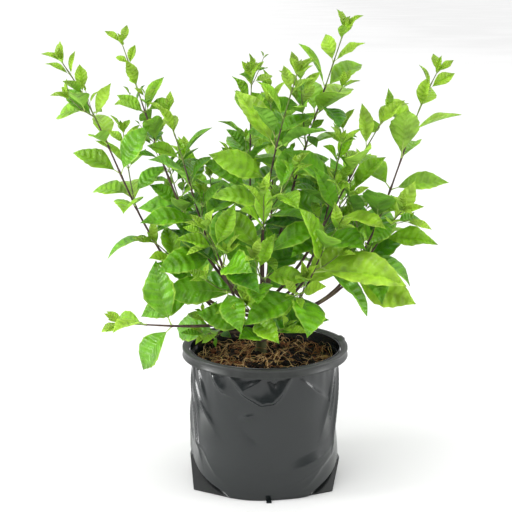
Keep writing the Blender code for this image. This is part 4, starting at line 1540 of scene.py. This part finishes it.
# %% Film finishes
# Faces nearer the middle than this are the floor's
EAR_FROM = 0.071
FILM_SHADES = [(0, (0.0035, 0.0062, 0.0066)), (1, (0.0085, 0.0125, 0.013))]
FOLD_SHADES = [(0, (0.004, 0.005, 0.005)), (1, (0.010, 0.012, 0.012))]
folded = 0
for face in bm.faces:
    middle = face.calc_center_median()
    bearing = math.degrees(math.atan2(middle.y, middle.x))
    if fold_at(bearing, middle.z)[0] < 0 and middle.xy.length > EAR_FROM:
        face.material_index = 1
        folded += 1
print(folded, "faces lie on the folded corners")
folds = ((40, 3), FOLD_SHADES)
folded_finish = finish_of("folded film", (0.006, 0.008, 0.008), 0.22, 0.36, folds)
clouds = ((20, 2), FILM_SHADES)
film_finish = finish_of("black film", (0.006, 0.009, 0.0095), 0.23, 0.62, clouds)
hang(piece_from("film_bag", bm, film_finish, folded_finish), "bag_film", "grow_bag")

# %% [markdown]
# ## The collar
# A stiff plastic band holds the mouth of the bag open. It is a strip bent into a ring, with a
# rounded bead on top, a groove under the bead and a band below it that flares out, and its end
# laps over its start at the right. A spun profile gives the ring and a bevel rounds its edges.

# %% The collar ring
COLLAR_STEPS = 160
BEAD_HEIGHT = 0.0030
BEAD_WIDE = 0.0034
BEAD_GROOVE = 0.0012
COLLAR_BEVEL = 0.0008


def collar_profile():
    """A bead round the top, a groove under it, a band that flares out again, and an inner lip."""
    skirt, flange = COLLAR_RADIUS - COLLAR_SKIRT, COLLAR_TOP - COLLAR_FLANGE
    foot = COLLAR_TOP - COLLAR_HEIGHT
    return [
        (COLLAR_RADIUS + 0.0002, foot),
        (COLLAR_RADIUS - 0.0004, foot + 0.0012),
        (COLLAR_RADIUS - BEAD_GROOVE, COLLAR_TOP - BEAD_HEIGHT - 0.0008),
        (COLLAR_RADIUS - BEAD_GROOVE, COLLAR_TOP - BEAD_HEIGHT - 0.0002),
        (COLLAR_RADIUS, COLLAR_TOP - BEAD_HEIGHT),
        (COLLAR_RADIUS, COLLAR_TOP),
        (COLLAR_RADIUS - BEAD_WIDE, COLLAR_TOP),
        (COLLAR_RADIUS - BEAD_WIDE - 0.0006, COLLAR_TOP - 0.0012),
        (COLLAR_INNER_RADIUS + 0.0006, COLLAR_TOP - 0.0014),
        (COLLAR_INNER_RADIUS, flange),
        (skirt, flange),
        (skirt, foot),
    ]


bm = turned(collar_profile(), COLLAR_STEPS, ring=True)
bmesh.ops.recalc_face_normals(bm, faces=bm.faces)
rims = [edge for edge in bm.edges if abs(edge.verts[0].co.z - edge.verts[1].co.z) < 1e-6]
sharp = [edge for edge in rims if edge.calc_face_angle(0) > 0.5]
top = [edge for edge in sharp if edge.verts[0].co.z > COLLAR_TOP - 1e-5]
bmesh.ops.bevel(
    bm, geom=top, offset=COLLAR_BEVEL, offset_type="OFFSET", segments=3, affect="EDGES",
    profile=0.5, material=-1,
)
print("the collar has", len(bm.faces), "faces")

# %% The lapped end
# Where the lap is and how far it spans, in degrees, and how far the end lies out and up
LAP_TURN = 17
LAP_SPAN = 5
LAP_OUT, LAP_UP = 0.010, 0.0012


def lap(vert):
    """Lifts the ring where its end lies over its start."""
    bearing = math.degrees(math.atan2(vert.co.y, vert.co.x))
    away = abs(bearing - LAP_TURN)
    if away < LAP_SPAN:
        rise = min(1, (LAP_SPAN - away) / 1.5)
        vert.co.xy *= 1 + LAP_OUT * rise
        if vert.co.z > COLLAR_TOP - BEAD_HEIGHT:
            vert.co.z += LAP_UP * rise


# A soft ring isn't quite level nor quite round
for vert in bm.verts:
    bearing = math.atan2(vert.co.y, vert.co.x)
    vert.co.z += 0.0003 * math.sin(2 * bearing + 1) + 0.0002 * math.sin(5 * bearing)
    vert.co.xy *= 1 + 0.0022 * math.sin(3 * bearing + 0.5)
    lap(vert)
PLASTIC_SHADES = [(0.3, (0.017, 0.019, 0.018)), (0.7, (0.036, 0.040, 0.037))]
PLASTIC_SHINE = [(0.3, grey(0.32)), (0.7, grey(0.50))]
collar_finish, tree, shader = shader_of("collar plastic", (0.024, 0.027, 0.025), 0.40, 0.5)
scuff = noise_in(tree, 60, 5)
tree.links.new(ramp(tree, scuff, PLASTIC_SHADES), shader.inputs["Base Color"])
tree.links.new(ramp(tree, scuff, PLASTIC_SHINE), shader.inputs["Roughness"])
bump(tree, shader, noise_in(tree, 500, 3), 0.00015, 0.5)
hang(piece_from("collar_ring", bm, collar_finish), "collar_plastic", "collar")

# %% [markdown]
# ## Coir and bark
# The bag is filled with coir: a dark crumbly bed with chips of bark and a tangle of tan fibres
# on top. The bed is a spun solid whose top is roughened, and the chips and fibres are small
# patterns strewn over it and joined, with their colours dealt out to a few meshes.

# %% The bed
BED_RINGS = 26
BED_STEPS = 120
BED_EDGE = bag_radius(SOIL_TOP) - FILM - FILM_MOST_IN - 0.0004
# The bed's underside and side, as (radius, height) points below its roughened top
BED_SIDE = [(0, 0.0016), (0.066, 0.0016), (0.069, 0.010), (0.069, 0.060), (0.070, 0.118)]
BED_TOP_FROM = 0.130
# The coir is heaped a little round the trunk, and it has settled below the part's own top
HEAP = Vector((-0.002, -0.016))
HEAP_HEIGHT, HEAP_WIDE = 0.0075, 0.030
SETTLED = 0.0018


def bed_height(x, y):
    """The height of the coir's top at a place."""
    radius = math.hypot(x, y)
    mound = SOIL_MOUND * (1 - (radius / BED_EDGE) ** 2)
    mound += HEAP_HEIGHT * math.exp(-0.5 * ((Vector((x, y)) - HEAP).length / HEAP_WIDE) ** 2)
    clods = 0.0048 * noise.noise(Vector((x * 90, y * 90, 1)))
    crumbs = 0.0024 * noise.noise(Vector((x * 260, y * 260, 5)))
    return SOIL_TOP + mound + (clods + crumbs) - SETTLED


bed_top = [(BED_EDGE * (1 - i / BED_RINGS), SOIL_TOP) for i in range(BED_RINGS + 1)]
bm = turned(BED_SIDE + bed_top, BED_STEPS)
bmesh.ops.recalc_face_normals(bm, faces=bm.faces)
for vert in bm.verts:
    if vert.co.z > BED_TOP_FROM:
        vert.co.z = bed_height(vert.co.x, vert.co.y)
COIR_SHADES = [
    (0.40, (0.004, 0.003, 0.002)),
    (0.60, (0.016, 0.009, 0.006)),
    (0.80, (0.070, 0.034, 0.016)),
]
crumbly = ((600, 8), 0.0016, 1.0)
bed_finish = finish_of("coir bed", (0.05, 0.03, 0.02), 0.95, 0.2, ((210, 8), COIR_SHADES), crumbly)
hang(piece_from("coir_bed", bm, bed_finish), "coir_and_bark", "growing_medium")

# %% Chips of bark
# The colour and the number of each kind
CHIPS = {
    "dark": ((0.010, 0.006, 0.005), 320),
    "red": ((0.150, 0.045, 0.016), 90),
    "tan": ((0.360, 0.190, 0.080), 50),
}
# The least and the most of each of a chip's half sides
CHIP_HALF_SIDES = ((0.0025, 0.0065), (0.0010, 0.0026), (0.0005, 0.0014))
CHIP_REACH = 0.93
CHIP_SEED = 51


def chip_pattern():
    """A bar with its edges cut off, which stands for a chip."""
    bm = bmesh.new()
    bmesh.ops.create_cube(bm, size=2)
    long_edges = [e for e in bm.edges if abs(e.verts[0].co.x - e.verts[1].co.x) > 1]
    bmesh.ops.subdivide_edges(bm, edges=long_edges, cuts=1)
    bmesh.ops.bevel(
        bm, geom=bm.edges[:], offset=0.3, segments=1, affect="EDGES", profile=0.5, material=-1,
    )
    return pattern_of(bm)


def strewn(rng, reach=0.97):
    """A chance place on the bed that keeps off the trunk."""
    while True:
        radius = BED_EDGE * reach * math.sqrt(rng.random())
        turn = rng.uniform(0, 2 * math.pi)
        x, y = radius * math.cos(turn), radius * math.sin(turn)
        if math.hypot(x - TRUNK_FOOT.x, y - TRUNK_FOOT.y) > TRUNK_FLARE_RADIUS + 0.001:
            return x, y


CHIP = chip_pattern()


def chip_shape(rng):
    """The bar's points at a chance size, tilt and place on the bed, each face a little uneven."""
    x, y = strewn(rng, CHIP_REACH)
    size = np.array([rng.uniform(*sides) for sides in CHIP_HALF_SIDES])
    turn = Matrix.Rotation(rng.uniform(0, 2 * math.pi), 3, "Z")
    turn = turn @ Matrix.Rotation(rng.gauss(0, 0.35), 3, "Y")
    turn = turn @ Matrix.Rotation(rng.gauss(0, 0.5), 3, "X")
    waves = np.sin(CHIP.points[:, [1, 2, 0]] * rng.uniform(1, 4) + rng.uniform(0, 6))
    points = CHIP.points * (1 + 0.22 * waves)
    at = np.array([x, y, bed_height(x, y) + 0.0006])
    return (points * size) @ np.array(turn).T + at


chip_rng = random.Random(CHIP_SEED)
for tone, (colour, count) in CHIPS.items():
    flaky = ((800, 5), 0.0006, 0.9)
    finish = finish_of(f"{tone} bark chip", colour, 0.9, 0.25, relief=flaky)
    shapes = [chip_shape(chip_rng) for _ in range(count)]
    hang(joined(f"chips_{tone}", [(CHIP, shapes)], finish), "coir_and_bark")

# %% Coir fibres
# The colour and the number of each kind
FIBRES = {
    "tan": ((0.800, 0.520, 0.250), 190),
    "brown": ((0.360, 0.160, 0.060), 130),
    "black": ((0.016, 0.011, 0.008), 150),
}
FIBRE_LENGTHS = (0.016, 0.060)
FIBRE_RADII = (0.00030, 0.00085)
FIBRE_SPRING = 0.014
FIBRE_SEED = 52
FIBRE_STEPS = 10
FIBRE = pattern_of(tube(4, [i / FIBRE_STEPS for i in range(1, FIBRE_STEPS)], tip=True))
FIBRE_TOP = COLLAR_TOP - 0.001


def fibre_shape(rng):
    """A curly fibre that wanders over the bed, some of them springing up from it."""
    x, y = strewn(rng)
    here = Vector((x, y, bed_height(x, y)))
    heading, bend = rng.uniform(0, 2 * math.pi), rng.gauss(0, 0.5)
    step = rng.uniform(*FIBRE_LENGTHS) / FIBRE_STEPS
    spring = rng.random() ** 2 * FIBRE_SPRING
    radius = rng.uniform(*FIBRE_RADII)
    line = []
    for number in range(FIBRE_STEPS + 1):
        line.append(here.copy())
        heading += bend + rng.gauss(0, 0.22)
        there = here + Vector((math.cos(heading), math.sin(heading), 0)) * step
        if there.xy.length > BED_EDGE - 0.002:
            heading += 2.2
            there = here + Vector((math.cos(heading), math.sin(heading), 0)) * step * 0.5
        hump = spring * math.sin(math.pi * number / FIBRE_STEPS)
        there.z = min(bed_height(there.x, there.y) + 0.0003 + hump, FIBRE_TOP)
        here = there
    points = []
    for px, py, pz in FIBRE.points:
        number = min(round(pz * FIBRE_STEPS), FIBRE_STEPS)
        ahead = line[min(number + 1, FIBRE_STEPS)] - line[max(number - 1, 0)]
        ring = ring_matrix(line[number], ahead, radius * (1 - 0.5 * pz))
        points.append(ring @ Vector((px, py, 0)))
    return np.array(points)


fibre_rng = random.Random(FIBRE_SEED)
for tone, (colour, count) in FIBRES.items():
    stringy = ((1500, 3), 0.0002, 0.8)
    finish = finish_of(f"{tone} coir fibre", colour, 0.8, 0.3, relief=stringy)
    shapes = [fibre_shape(fibre_rng) for _ in range(count)]
    hang(joined(f"fibres_{tone}", [(FIBRE, shapes)], finish), "coir_and_bark")
